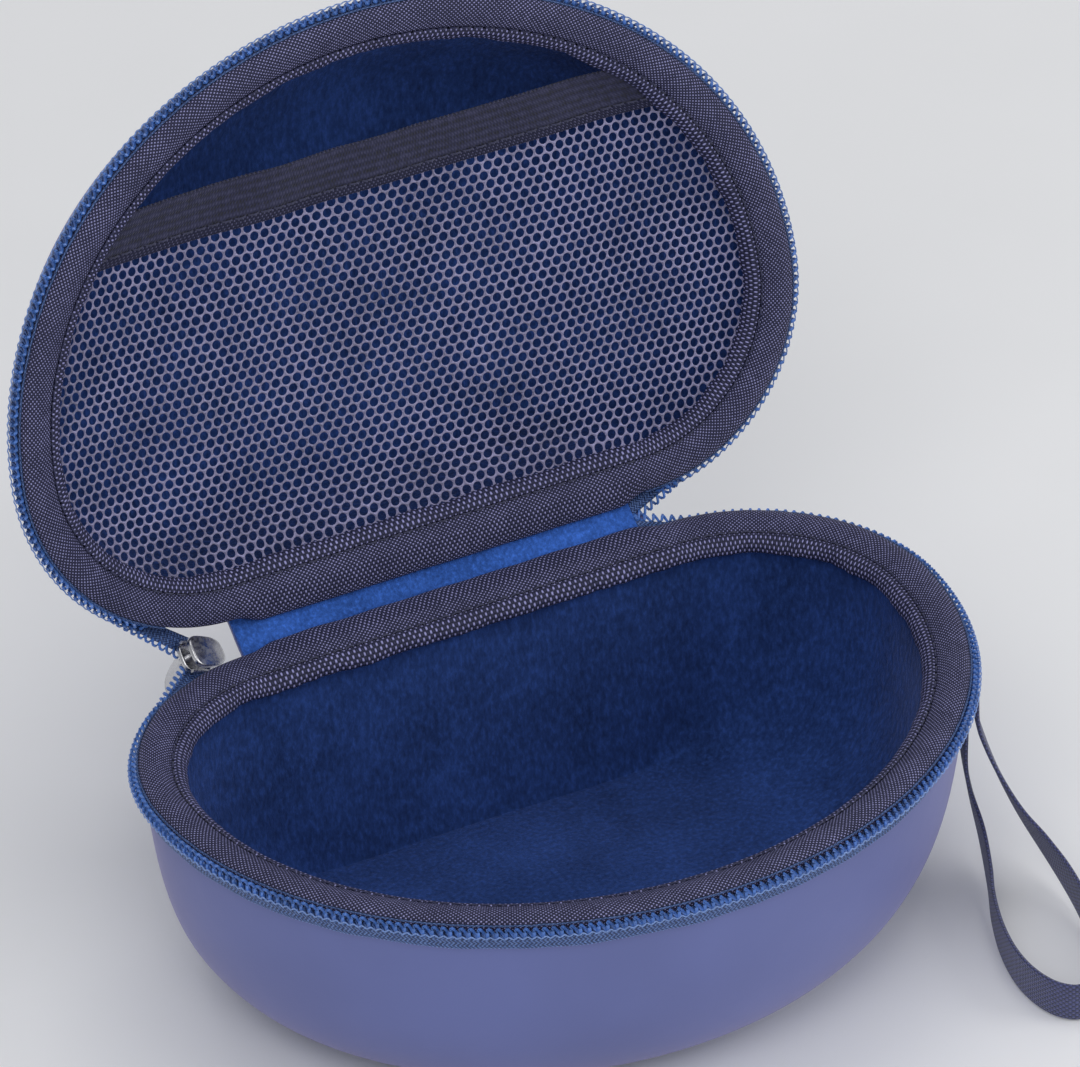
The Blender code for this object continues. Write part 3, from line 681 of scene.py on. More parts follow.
def bowl(sizes, half, ring_steps=300, profile_steps=40):
    """Outer surface of a half as a grid: rows run down the wall and over the floor to its
    middle, columns round the rim.

    The wall tapers and rounds into the floor on a superellipse of the rounding power; the
    rim ring shrinks by the taper and the rounding as it goes down, less on the hinge side.
    """
    full_depth = sizes.lid_depth if half == "lid" else sizes.base_depth
    rounding = LID_ROUNDING if half == "lid" else BASE_ROUNDING
    taper = LID_TAPER if half == "lid" else BASE_TAPER
    power = LID_POWER if half == "lid" else BASE_POWER
    place, normal = rim_at(sizes, np.linspace(0, rim_lengths(sizes)[1], ring_steps, endpoint=False))
    top = place + normal * SHELL_INSET
    turn = 0.5 * math.pi * np.linspace(0, 1, profile_steps) ** 0.9
    drop = np.sin(turn) ** (2 / power)
    pull = 1 - np.cos(turn).clip(0, 1) ** (2 / power)
    collar = SHELL_TOP + SHELL_COLLAR
    side = taper * drop + rounding * pull
    back = BACK_TAPER * drop + BACK_ROUNDING * pull
    scale_x = 1 - side / (sizes.half_width - SHELL_INSET)
    scale_front = 1 - side / (sizes.front_depth - SHELL_INSET)
    scale_back = 1 - back / (sizes.corner_radius - SHELL_INSET)
    depth = collar + (full_depth - collar) * drop
    inwards = np.linspace(1, 0.01, 14)[1:]
    scale_x = np.concatenate([[1.0], scale_x, scale_x[-1] * inwards])
    scale_front = np.concatenate([[1.0], scale_front, scale_front[-1] * inwards])
    scale_back = np.concatenate([[1.0], scale_back, scale_back[-1] * inwards])
    depth = np.concatenate([[SHELL_TOP], depth, np.full(13, full_depth)])
    scale_y = np.where(top[None, :, 1] > 0, scale_back[:, None], scale_front[:, None])
    x = top[None, :, 0] * scale_x[:, None]
    y = top[None, :, 1] * scale_y
    return np.stack([x, y, np.broadcast_to(depth[:, None], x.shape)], -1)


def bowl_normals(points):
    """Unit normals of a bowl grid, pointing into its hollow."""
    down = np.gradient(points, axis=0)
    round_rim = np.roll(points, -1, 1) - np.roll(points, 1, 1)
    normal = np.cross(round_rim, down)
    normal /= np.maximum(np.linalg.norm(normal, axis=2, keepdims=True), 1e-12)
    inward = -points * [1, 1, 0]
    turned = np.sign((normal * inward).sum(2).mean(1))
    floor = points[:, :, 2] > points[:, :, 2].max() - 1e-6
    normal = normal * np.where(turned == 0, 1, turned)[:, None, None]
    normal[floor] = [0, 0, -1]
    flat = normal[:2] * [1, 1, 0]
    normal[:2] = flat / np.linalg.norm(flat, axis=2, keepdims=True)
    return normal


def walled_bowl(sizes, name, half, start, thickness, look_name, seed, softness):
    """A bowl between two depths under the outer surface, its soft face slightly uneven."""
    outer = bowl(sizes, half)
    normal = bowl_normals(outer)
    x, y, z = outer[..., 0], outer[..., 1], outer[..., 2]
    uneven = (waves(x + 0.6 * y, seed, softness, 0.03, 0.09)
              + waves(y - 0.5 * z, seed + 1, softness, 0.03, 0.09))
    fade = np.clip((z - z.min()) / 0.012, 0, 1)
    near = outer + normal * start
    far = outer + normal * (start + thickness + (uneven * fade)[..., None])
    shell = np.concatenate([far[::-1], near])
    points = seat(sizes, shell, half)
    lengths = lengths_along(points[:, 0])
    return surface(name, points, look(look_name), half, wrap_columns=True,
                   along=np.append(lengths, lengths[-1]),
                   across=lengths_along(points[len(outer)], True))


class CASE_OT_halves(bpy.types.Operator):
    """Make the moulded shells with their leather skin, and the velour linings"""

    bl_idname = "case.halves"
    bl_label = "Shells and linings"

    def execute(self, context):
        sizes = context.scene.case_sizes
        for seed, half in enumerate(("base", "lid")):
            thickness = SHELL_THICKNESS if half == "base" else LID_SHELL_THICKNESS
            skin = walled_bowl(sizes, half + "_skin", half, 0.0, thickness, "skin", seed, 0.0)
            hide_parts(half + "_shell")
            cloth = walled_bowl(sizes, half + "_velour", half, thickness + GAP, LINING_THICKNESS,
                                "velour", seed + 10, 0.25 * MM)
            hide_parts(half + "_lining")
        return {"FINISHED"}


# ---------------------------------------------------------------- rim

def section(points, count):
    """A closed band section from its control points in millimetres of (inset, depth)."""
    looped = np.array(points + points[:1], float) * MM
    return smooth_path(looped, count + 1)[:-1]


def hinge_swell(sizes, place):
    """How far into the straight hinge side a rim place lies: 0 at its ends, 1 along it."""
    on_side = place[:, 1] > sizes.corner_radius - 1e-5
    share = np.clip((sizes.half_width - sizes.corner_radius - np.abs(place[:, 0])) / 0.008, 0, 1)
    return np.where(on_side, share * share * (3 - 2 * share), 0.0)


class CASE_OT_bindings(bpy.types.Operator):
    """Make the plump outer binding, the gathered inner binding and the seam between them"""

    bl_idname = "case.bindings"
    bl_label = "Woven bindings"

    def execute(self, context):
        sizes = context.scene.case_sizes
        total = rim_lengths(sizes)[1]
        rows = sizes.rim_rows + 120
        along = np.linspace(0, total, rows, endpoint=False)
        place, normal = rim_at(sizes, along)
        # Inset and depth in millimetres: foot, outer edge, crown, slope into the groove, foot
        roll = section([(2.7, 4.2), (1.75, 3.3), (1.65, 1.9), (2.5, 0.8), (4.4, 0.35), (6.4, 0.5),
                        (8.1, 1.15), (9.2, 1.75), (9.75, 2.6), (9.6, 4.2), (6.0, 4.2)], 26)
        lip = section([(10.0, 2.9), (10.3, 2.3), (11.3, 2.55), (12.3, 3.4), (13.1, 4.7),
                       (13.1, 6.1), (11.8, 7.0), (10.2, 7.1), (10.0, 5.0)], 22)
        for seed, half in enumerate(("base", "lid")):
            swell = hinge_swell(sizes, place)[:, None]
            swell = swell * np.clip((6.6 * MM - roll[:, 0]) / (3 * MM), 0, 1)
            soft = waves(along, 20 + seed, 0.16 * MM, 0.012, 0.05)[:, None]
            top = np.clip((3.0 * MM - roll[:, 1]) / (2.5 * MM), 0, 1)
            shape = np.broadcast_to(roll, (rows,) + roll.shape).copy()
            shape[..., 0] -= 2.3 * MM * swell
            shape[..., 1] += soft * top
            outer = band(sizes, half + "_roll_binding", half, along, shape, look("binding"),
                         half, True)
            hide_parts(half + "_binding_outer")
            gather = (waves(along, 30 + seed, 0.10 * MM, 0.004, 0.008)
                      + waves(along, 40 + seed, 0.22 * MM, 0.012, 0.03))[:, None]
            edge = np.clip((lip[:, 0] - 10.5 * MM) / (3 * MM), 0, 1)
            shape = np.broadcast_to(lip, (rows,) + lip.shape).copy()
            shape[..., 0] += gather * edge
            shape[..., 1] += 0.5 * gather * edge
            inner = band(sizes, half + "_lip_binding", half, along, shape, look("gathered"),
                         half, True)
            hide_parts(half + "_binding_inner")
            groove = np.concatenate([place + normal * 9.9 * MM, np.full((rows, 1), 2.0 * MM)], 1)
            path = seat(sizes, groove, half)
            up = seat(sizes, groove - [0, 0, MM], half) - path
            seam = stitches(half + "_groove_seam", path, up / MM, sizes.stitch_pitch, 0.72,
                            0.22 * MM, look("dark_thread"))
            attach(seam, half)
        return {"FINISHED"}


def read_along(at, lengths, rows):
    """A line's rows read at the lengths `at` along it."""
    return np.stack([np.interp(at, lengths, rows[:, axis]) for axis in range(3)], 1)


def stitches(name, path, face, pitch, fill, radius, thread):
    """A row of sewn stitches: each is a short round thread that arches out of the cloth and
    dives back in at both its ends."""
    lengths = lengths_along(path)
    count = int(lengths[-1] / pitch)
    steps, sides = 6, 5
    step = np.linspace(0, 1, steps)
    start = np.arange(count)[:, None] + (1 - fill) / 2
    at = ((start + fill * step[None]) * lengths[-1] / count).ravel()
    centre, out = read_along(at, lengths, path), read_along(at, lengths, face)
    out /= np.linalg.norm(out, axis=1, keepdims=True)
    arch = np.tile(np.sin(math.pi * step) * 2.2 - 1.4, count)[:, None] * radius
    centre = centre + out * arch
    forward = np.gradient(read_along(at, lengths, path), axis=0)
    side = np.cross(forward, out)
    side /= np.linalg.norm(side, axis=1, keepdims=True)
    ring = circle(radius, sides)
    points = centre[:, None] + side[:, None] * ring[None, :, :1] + out[:, None] * ring[None, :, 1:]
    faces = grid_faces(steps, sides, False, True)[0]
    caps = np.stack([np.arange(sides)[::-1], np.arange(sides) + (steps - 1) * sides])
    offset = (np.arange(count) * steps * sides)[:, None, None]
    groups = [(faces[None] + offset).reshape(-1, 4), (caps[None] + offset).reshape(-1, sides)]
    return piece(name, points.reshape(-1, 3), groups, thread)


def coil(name, path, inward, towards, pitch, plastic, half_thick=0.70 * MM, half_high=1.20 * MM,
         wire=0.43 * MM):
    """A zipper coil: a helix whose turns are ovals, carried along a path.

    The oval's axes are inward, across the coil, and towards the other half of the zipper;
    the wire keeps a round section, and each turn leans a little as it does when sewn down.
    """
    lengths = lengths_along(path)
    turns = max(2, int(round(lengths[-1] / pitch)))
    per_turn, sides = 10, 5
    turn = np.linspace(0, 2 * math.pi * turns, turns * per_turn + 1)
    lean = 0.22 * np.sin(turn)
    at = (turn / (2 * math.pi) + lean) * lengths[-1] / turns
    place, in_axis, up_axis = (read_along(at, lengths, row) for row in (path, inward, towards))
    middle = (place + in_axis * (half_thick * np.cos(turn))[:, None]
              + up_axis * (half_high * np.sin(turn))[:, None])
    forward = np.gradient(place, axis=0)
    points = sweep(middle, forward, circle(wire, sides))
    return surface(name, points, plastic)


def rim_path(sizes, half, along, inset, depth):
    """A line round the rim at an inset and a depth, with its inward and rim-ward directions."""
    place, normal = rim_at(sizes, along)
    inset = np.broadcast_to(inset, along.shape)[:, None]
    depth = np.broadcast_to(depth, along.shape)[:, None]
    shut = np.concatenate([place + normal * inset, depth], 1)
    path = seat(sizes, shut, half)
    inward = seat(sizes, shut + np.concatenate([normal, normal[:, :1] * 0], 1), half) - path
    towards = seat(sizes, shut - [0, 0, 1], half) - path
    return path, inward, towards


COIL_DEPTH = 3.3 * MM
COIL_INSET = 0.45 * MM


class CASE_OT_zipper(bpy.types.Operator):
    """Make the zipper: tapes, coils, the thread that sews each coil down and the edge cords"""

    bl_idname = "case.zipper"
    bl_label = "Zipper"

    def execute(self, context):
        sizes = context.scene.case_sizes
        start, end = corner_length(sizes, 90, 1), corner_length(sizes, 68, -1)
        along = np.linspace(start, end, sizes.rim_rows)
        # Inset and depth in millimetres of the tape round the rim edge: it lies on the shell
        # outside, carries the coil at its fold and is sewn in under the binding
        tape = section([(2.15, 8.6), (1.7, 8.35), (1.05, 6.6), (0.5, 5.05), (0.6, 4.65), (1.4, 4.1),
                        (2.45, 3.7), (2.5, 4.3), (1.45, 4.9), (1.75, 6.6), (2.45, 8.2)], 24)
        coil_along = np.linspace(corner_length(sizes, 84, 1), corner_length(sizes, 60, -1), 1600)
        dense = np.linspace(coil_along[0], coil_along[-1], 2400)
        ripple = 2 * math.pi * (dense - dense[0]) / sizes.tooth_pitch
        for seed, half in enumerate(("base", "lid")):
            shape = np.broadcast_to(tape, (len(along),) + tape.shape).copy()
            foot = np.clip((shape[..., 1] - 6 * MM) / (2.5 * MM), 0, 1)
            shape[..., 1] += foot * waves(along, 50 + seed, 0.18 * MM, 0.012, 0.05)[:, None]
            cloth = band(sizes, half + "_woven_tape", half, along, shape, look("tape"), half, False)
            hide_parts(half + "_zipper_tape")
            path, inward, towards = rim_path(sizes, half, coil_along, COIL_INSET, COIL_DEPTH)
            teeth = coil(half + "_coil", path, inward, towards, sizes.tooth_pitch, look("coil"))
            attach(teeth, half)
            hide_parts(half + "_zipper_coil")
            path, inward, _ = rim_path(sizes, half, dense, -0.74 * MM - 0.10 * MM * np.cos(ripple),
                                       3.75 * MM + 0.28 * MM * np.sin(ripple))
            sewing = surface(half + "_coil_thread", sweep(path, inward, circle(0.17 * MM, 5)),
                             look("thread"), half)
            path, inward, _ = rim_path(sizes, half, along, 1.45 * MM, 1.75 * MM + waves(
                along, 60 + seed, 0.06 * MM, 0.003, 0.008))
            cord = surface(half + "_edge_cord", sweep(path, inward, circle(0.26 * MM, 6)),
                           look("tape"), half)
            path, inward, _ = rim_path(sizes, half, along, 2.0 * MM, 8.5 * MM + waves(
                along, 50 + seed, 0.18 * MM, 0.012, 0.05))
            selvedge = stitches(half + "_selvedge", path, -inward, 0.9 * MM, 0.8, 0.16 * MM,
                                look("thread"))
            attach(selvedge, half)
        return {"FINISHED"}


# ---------------------------------------------------------------- hinge

def thick_sheet(name, points, thickness, cloth, body=None, along=None, across=None):
    """An open grid given a thickness both ways along its normals, closed round its edges.

    thickness may be one value or one for each column.
    """
    normal = np.cross(np.gradient(points, axis=0), np.gradient(points, axis=1))
    normal /= np.linalg.norm(normal, axis=2, keepdims=True)
    half = normal * np.broadcast_to(thickness, points.shape[1])[None, :, None] / 2
    loop = np.concatenate([points + half, (points - half)[:, ::-1]], 1)
    if along is None:
        along = lengths_along(points[:, 0])
    if across is None:
        across = lengths_along(points[0])
    across = np.concatenate([across, across[::-1], across[:1]])
    return surface(name, loop, cloth, body, along=np.append(along, along[-1]), across=across)


def folded_line(sizes, base_side, spine_side, count):
    """A line over the hinge in (y, z): its base half from given places, then its mirror image
    on the lid. Places are (y, depth) on the base, and (y, height above the middle) on the spine."""
    def placed(rows, half):
        return seat(sizes, np.array([(0.0, y * MM, depth * MM) for y, depth in rows]), half)[:, 1:]

    mirrored = [(y, -rise) for y, rise in spine_side if rise]
    rows = np.concatenate([placed(base_side, "base"), placed(spine_side, "spine"),
                           placed(mirrored[::-1], "spine"), placed(base_side[::-1], "lid")])
    return smooth_path(rows, count)


def over_hinge(sizes, name, line, thickness, cloth, uneven, past_end, replaced):
    """A cloth that crosses the hinge, as a base half and a lid half that meet at mid spine."""
    x = np.linspace(sizes.hinge_left, sizes.hinge_right + past_end, 90)
    middle = len(line) // 2
    bow = 4 * np.linspace(0, 1, len(line)) * (1 - np.linspace(0, 1, len(line)))
    points = np.concatenate([np.broadcast_to(x[:, None, None], (len(x), len(line), 1)),
                             np.broadcast_to(line, (len(x),) + line.shape)], 2).copy()
    ripple = waves(x, len(name), uneven, 0.012, 0.06)[:, None] * bow ** 3
    points[..., 1] += math.cos(sizes.lid_angle / 2) * ripple
    points[..., 2] -= math.sin(sizes.lid_angle / 2) * ripple
    across = lengths_along(line)
    halves = []
    for half, part in (("base", slice(0, middle + 1)), ("lid", slice(middle, None))):
        depth = np.broadcast_to(thickness, len(line))[part]
        made = thick_sheet(f"{name}_{half}", points[:, part], depth, cloth, across=across[part])
        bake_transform(made)
        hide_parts(*replaced[half])
        halves.append(made)
    return halves


def tape_end(sizes, half, side):
    """Where the zipper tape leaves the rim and runs to the spine: a ruled strip between its coil
    edge and its sewn edge, both smooth curves, with a last stretch of coil."""
    rim = corner_length(sizes, 62 if side < 0 else 84, side)
    foot = corner_length(sizes, 69 if side < 0 else 88, side)
    sign = -1 if half == "base" else 1
    end_x = SLIDER_X if side < 0 else sizes.hinge_right + 1.2 * MM
    reach = 3.6 * MM if side < 0 else 1.5 * MM
    end_y = sizes.hinge_y + (2.6 * MM if side < 0 else 0.4 * MM)
    coil_rim = rim_path(sizes, half, np.array([rim, rim + side * -2.0 * MM]), 0.6 * MM, 4.6 * MM)[0]
    foot_rim = rim_path(sizes, half, np.array([foot, foot + side * -2.0 * MM]), 2.2 * MM, 8.2 * MM)[0]
    coil_end = seat(sizes, np.array([end_x, end_y, sign * 0.5 * MM]), "spine")
    foot_x = end_x + reach if side < 0 else end_x
    foot_end = seat(sizes, np.array([foot_x, end_y, sign * 3.4 * MM]), "spine")
    edges = []
    for first, last, pull in ((coil_rim, coil_end, 0.5), (foot_rim, foot_end, 0.5)):
        heading = (first[0] - first[1]) / np.linalg.norm(first[0] - first[1])
        span = np.linalg.norm(last - first[0])
        rows = [first[1], first[0], first[0] + heading * span * pull * 0.8, last]
        edges.append(smooth_path(rows, 24))
    coil_edge, foot_edge = edges
    share = np.linspace(0, 1, 8)[None, :, None]
    points = coil_edge[:, None] * (1 - share) + foot_edge[:, None] * share
    made = thick_sheet(f"{half}_tape_end_{'left' if side < 0 else 'right'}", points, 0.6 * MM,
                       look("tape"))
    up = coil_edge - foot_edge
    up /= np.linalg.norm(up, axis=1, keepdims=True)
    out = np.cross(np.gradient(coil_edge, axis=0), up)
    out /= np.linalg.norm(out, axis=1, keepdims=True)
    teeth = coil(f"{half}_coil_end_{'left' if side < 0 else 'right'}", coil_edge + up * 0.9 * MM,
                 out, up, sizes.tooth_pitch, look("coil"), 0.6 * MM, 0.9 * MM, 0.36 * MM)
    for part in (made, teeth):
        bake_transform(part)


class CASE_OT_hinge(bpy.types.Operator):
    """Make the velour strip inside the hinge, the leather cover outside it and the tape ends"""

    bl_idname = "case.hinge"
    bl_label = "Cloth hinge"

    def execute(self, context):
        sizes = context.scene.case_sizes
        inside = folded_line(sizes, [(47.6, 5.4), (49.2, 4.9)],
                             [(50.0, -3.6), (50.1, -1.5), (50.1, 0)], 41)
        strip = {"base": ["hinge_velour_strip"], "lid": ["hinge_velour_strip"]}
        for made in over_hinge(sizes, "hinge_velour", inside, 1.0 * MM, look("hinge"),
                               0.35 * MM, 1.5 * MM, strip):
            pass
        outside = folded_line(sizes, [(47.9, 13.4), (48.1, 12.4), (48.1, 9.5), (48.3, 6.8)],
                              [(51.1, -3.0), (51.3, -1.4), (51.3, 0)], 61)
        height = np.abs(np.linspace(-1, 1, len(outside)))
        thickness = (1.0 + 1.0 * np.clip((height - 0.45) / 0.2, 0, 1)) * MM
        thickness *= 1 - 0.55 * np.clip((height - 0.94) / 0.06, 0, 1) ** 2
        covers = over_hinge(sizes, "hinge_cover", outside, thickness, look("skin"),
                            0.25 * MM, 4.5 * MM,
                            {"base": ["hinge_leather_panel", "base_hinge_flap"],
                             "lid": ["hinge_leather_panel", "lid_hinge_flap"]})
        x = np.linspace(sizes.hinge_left + 2 * MM, sizes.hinge_right - 2 * MM, 60)
        for half in ("base", "lid"):
            for row, depth in enumerate((11.4 * MM, 7.9 * MM)):
                shut = np.stack([x, np.full(60, 49.15 * MM), np.full(60, depth)], 1)
                path = seat(sizes, shut, half)
                out = seat(sizes, shut + [0, 1, 0], half) - path
                seam = stitches(f"{half}_hinge_seam_{row}", path, out, sizes.stitch_pitch, 0.7,
                                0.22 * MM, look("dark_thread"))
                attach(seam, half)
            for side in (-1, 1):
                tape_end(sizes, half, side)
        return {"FINISHED"}


# ---------------------------------------------------------------- slider and pull

def plate(name, outline, thickness, metal, body, crown=0.0, place=None):
    """A flat metal plate with rounded edges: its outline shrinks towards both faces along a
    quarter circle, and the faces may be crowned. outline is (n, 2); place moves (n, 3)."""
    inset = np.array([0.55, 0.16, 0.04, 0.0, 0.0, 0.04, 0.16, 0.55])
    level = np.array([-1.0, -0.96, -0.72, -0.35, 0.35, 0.72, 0.96, 1.0]) * 0.5
    middle = outline.mean(0)
    rows = []
    inset = np.concatenate([[4.0], inset, [4.0]])
    level = np.concatenate([level[:1], level, level[-1:]])
    reach = np.linalg.norm(outline - middle, axis=1, keepdims=True)
    for shrink, rise in zip(inset, level):
        flat = middle + (outline - middle) * (1 - np.minimum(shrink * thickness / reach, 0.92))
        lift = rise * thickness + (crown * np.sign(rise) if shrink > 3 else 0.0)
        rows.append(np.concatenate([flat, np.full((len(flat), 1), lift)], 1))
    return surface(name, place(np.array(rows)), metal, body)


PULL_OUT = 3.4 * MM
SLIDER_TURN = math.radians(38)


def slider_place(sizes):
    """Seats (length, height, out) places about the slider's middle on the spine, in metres.
    The slider is turned about the pull's axis, towards the corner that its tapes come from."""
    middle = np.array([SLIDER_X, sizes.hinge_y, 0.0])
    cos, sin = math.cos(SLIDER_TURN), math.sin(SLIDER_TURN)

    def place(points):
        length, out = points[..., 0], points[..., 2] - PULL_OUT
        turned = np.stack([length * cos - out * sin, PULL_OUT + length * sin + out * cos,
                           points[..., 1]], -1)
        return seat(sizes, turned + middle, "spine")

    return place


class CASE_OT_slider(bpy.types.Operator):
    """Make the zipper slider, its bail and the pull tab"""

    bl_idname = "case.slider"
    bl_label = "Slider and pull"

    def execute(self, context):
        sizes = context.scene.case_sizes
        place = slider_place(sizes)
        turn = np.linspace(0, 2 * math.pi, 48, endpoint=False)
        # The plates are wide at the shoulders, where the tapes enter, and narrow at the tail
        along = np.sign(np.cos(turn)) * np.abs(np.cos(turn)) ** 0.62
        wide = np.sign(np.sin(turn)) * np.abs(np.sin(turn)) ** 0.62
        outline = np.stack([along * 6.5 * MM, wide * (4.0 - 0.5 * along) * MM], 1)
        for name, out in (("slider_top_plate", 1.7), ("slider_back_plate", -1.7)):
            plate(name, outline, 1.2 * MM, look("steel"), "slider", 0.15 * MM,
                               lambda rows, out=out: place(rows + [0, 0, out * MM]))
        post = circle(1.2 * MM, 20, 0.8) + [-3.6 * MM, 0]
        rows = np.linspace(-1.3, 1.3, 6)[:, None, None] * MM
        core = np.concatenate([np.broadcast_to(post, (6,) + post.shape),
                               np.broadcast_to(rows, (6, len(post), 1))], 2)
        surface("slider_post", place(core), look("steel"), "slider")
        for sign in (-1, 1):
            line = np.stack([np.linspace(-5, 2.2, 12), np.full(12, 3.75 * sign),
                             np.full(12, 1.05)], 1) * MM
            flange = sweep(place(line), np.broadcast_to(place(np.array([0, 0, MM])) - place(
                np.zeros(3)), line.shape), pill(0.7 * MM, 0.9 * MM, 12, 4))
            surface(f"slider_flange_{'low' if sign < 0 else 'high'}", flange,
                                 look("steel"), "slider")
        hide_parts("slider_body")
        arch = smooth_path(np.array([(-4.0, 0, 2.4), (-3.6, 0, 4.0), (-2.2, 0, 5.3), (0, 0, 5.6),
                                     (2.2, 0, 5.3), (3.6, 0, 4.0), (4.0, 0, 2.4)]) * MM, 40)
        side = np.broadcast_to(place(np.array([0, MM, 0])) - place(np.zeros(3)), (40, 3))
        bail = surface("slider_arch", sweep(place(arch), side, pill(1.3 * MM, 1.6 * MM, 14, 3)),
                       look("steel"), "slider")
        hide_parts("slider_bail")
        self.pull(sizes)
        return {"FINISHED"}

    def pull(self, sizes):
        """The pull tab: a flat ring section swept between an oval eye and a longer outline."""
        turn = np.linspace(0, 2 * math.pi, 56, endpoint=False)
        x, y = np.cos(turn), np.sin(turn)
        power = 0.7
        round_x = np.sign(x) * np.abs(x) ** power
        round_y = np.sign(y) * np.abs(y) ** power
        outer = np.stack([round_x * (4.0 - 0.5 * round_y) * MM, (11.6 + round_y * 12.2) * MM], 1)
        eye = np.stack([round_x * 1.9 * MM, (3.4 + round_y * 2.7) * MM], 1)
        share = np.array([0.0, 0.04, 0.14, 0.30, 0.5, 0.78, 0.93, 1.0,
                          0.93, 0.78, 0.5, 0.30, 0.14, 0.04])
        lift = np.array([0.0, 0.45, 0.62, 0.62, 0.55, 0.55, 0.45, 0.0, -0.45, -0.55, -0.55, -0.62,
                         -0.62, -0.45]) * MM
        flat = eye[:, None] * (1 - share[None, :, None]) + outer[:, None] * share[None, :, None]
        hang = np.array([SLIDER_X, sizes.hinge_y + PULL_OUT, 0.0])
        shut = np.stack([np.broadcast_to(lift, flat.shape[:2]), flat[..., 1], -flat[..., 0]], -1)
        points = seat(sizes, shut + hang, "spine")
        made = surface("pull_plate", points, look("steel"), "pull", wrap_rows=True)
        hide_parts("pull_tab")
        return made


# ---------------------------------------------------------------- pocket

POCKET_DEPTH = 8.0 * MM
POCKET_BACK = 36.5 * MM
ELASTIC_MIDDLE = -53.5 * MM
ELASTIC_WIDTH = 9.5 * MM
HEM_WIDTH = 2.4 * MM


def pocket_half_width(sizes, y, margin=12.2 * MM):
    """Half width of the lid's hollow where the pocket is sewn in, at a distance y."""
    front = np.sqrt(np.clip(1 - (y / (sizes.front_depth - margin)) ** 2, 0, 1))
    radius = sizes.corner_radius - margin
    corner = np.sqrt(np.clip(radius ** 2 - np.clip(y, 0, None) ** 2, 0, None))
    return np.where(y <= 0, (sizes.half_width - margin) * front,
                    sizes.half_width - sizes.corner_radius + corner)


def pocket_depth(share, y):
    """Depth of the pocket's cloth: level, risen to the binding at both sides, slightly slack."""
    return (POCKET_DEPTH - 1.6 * MM * np.abs(share) ** 10
            + waves(share * 0.09 + 0.3 * y, 70, 0.35 * MM, 0.03, 0.08))


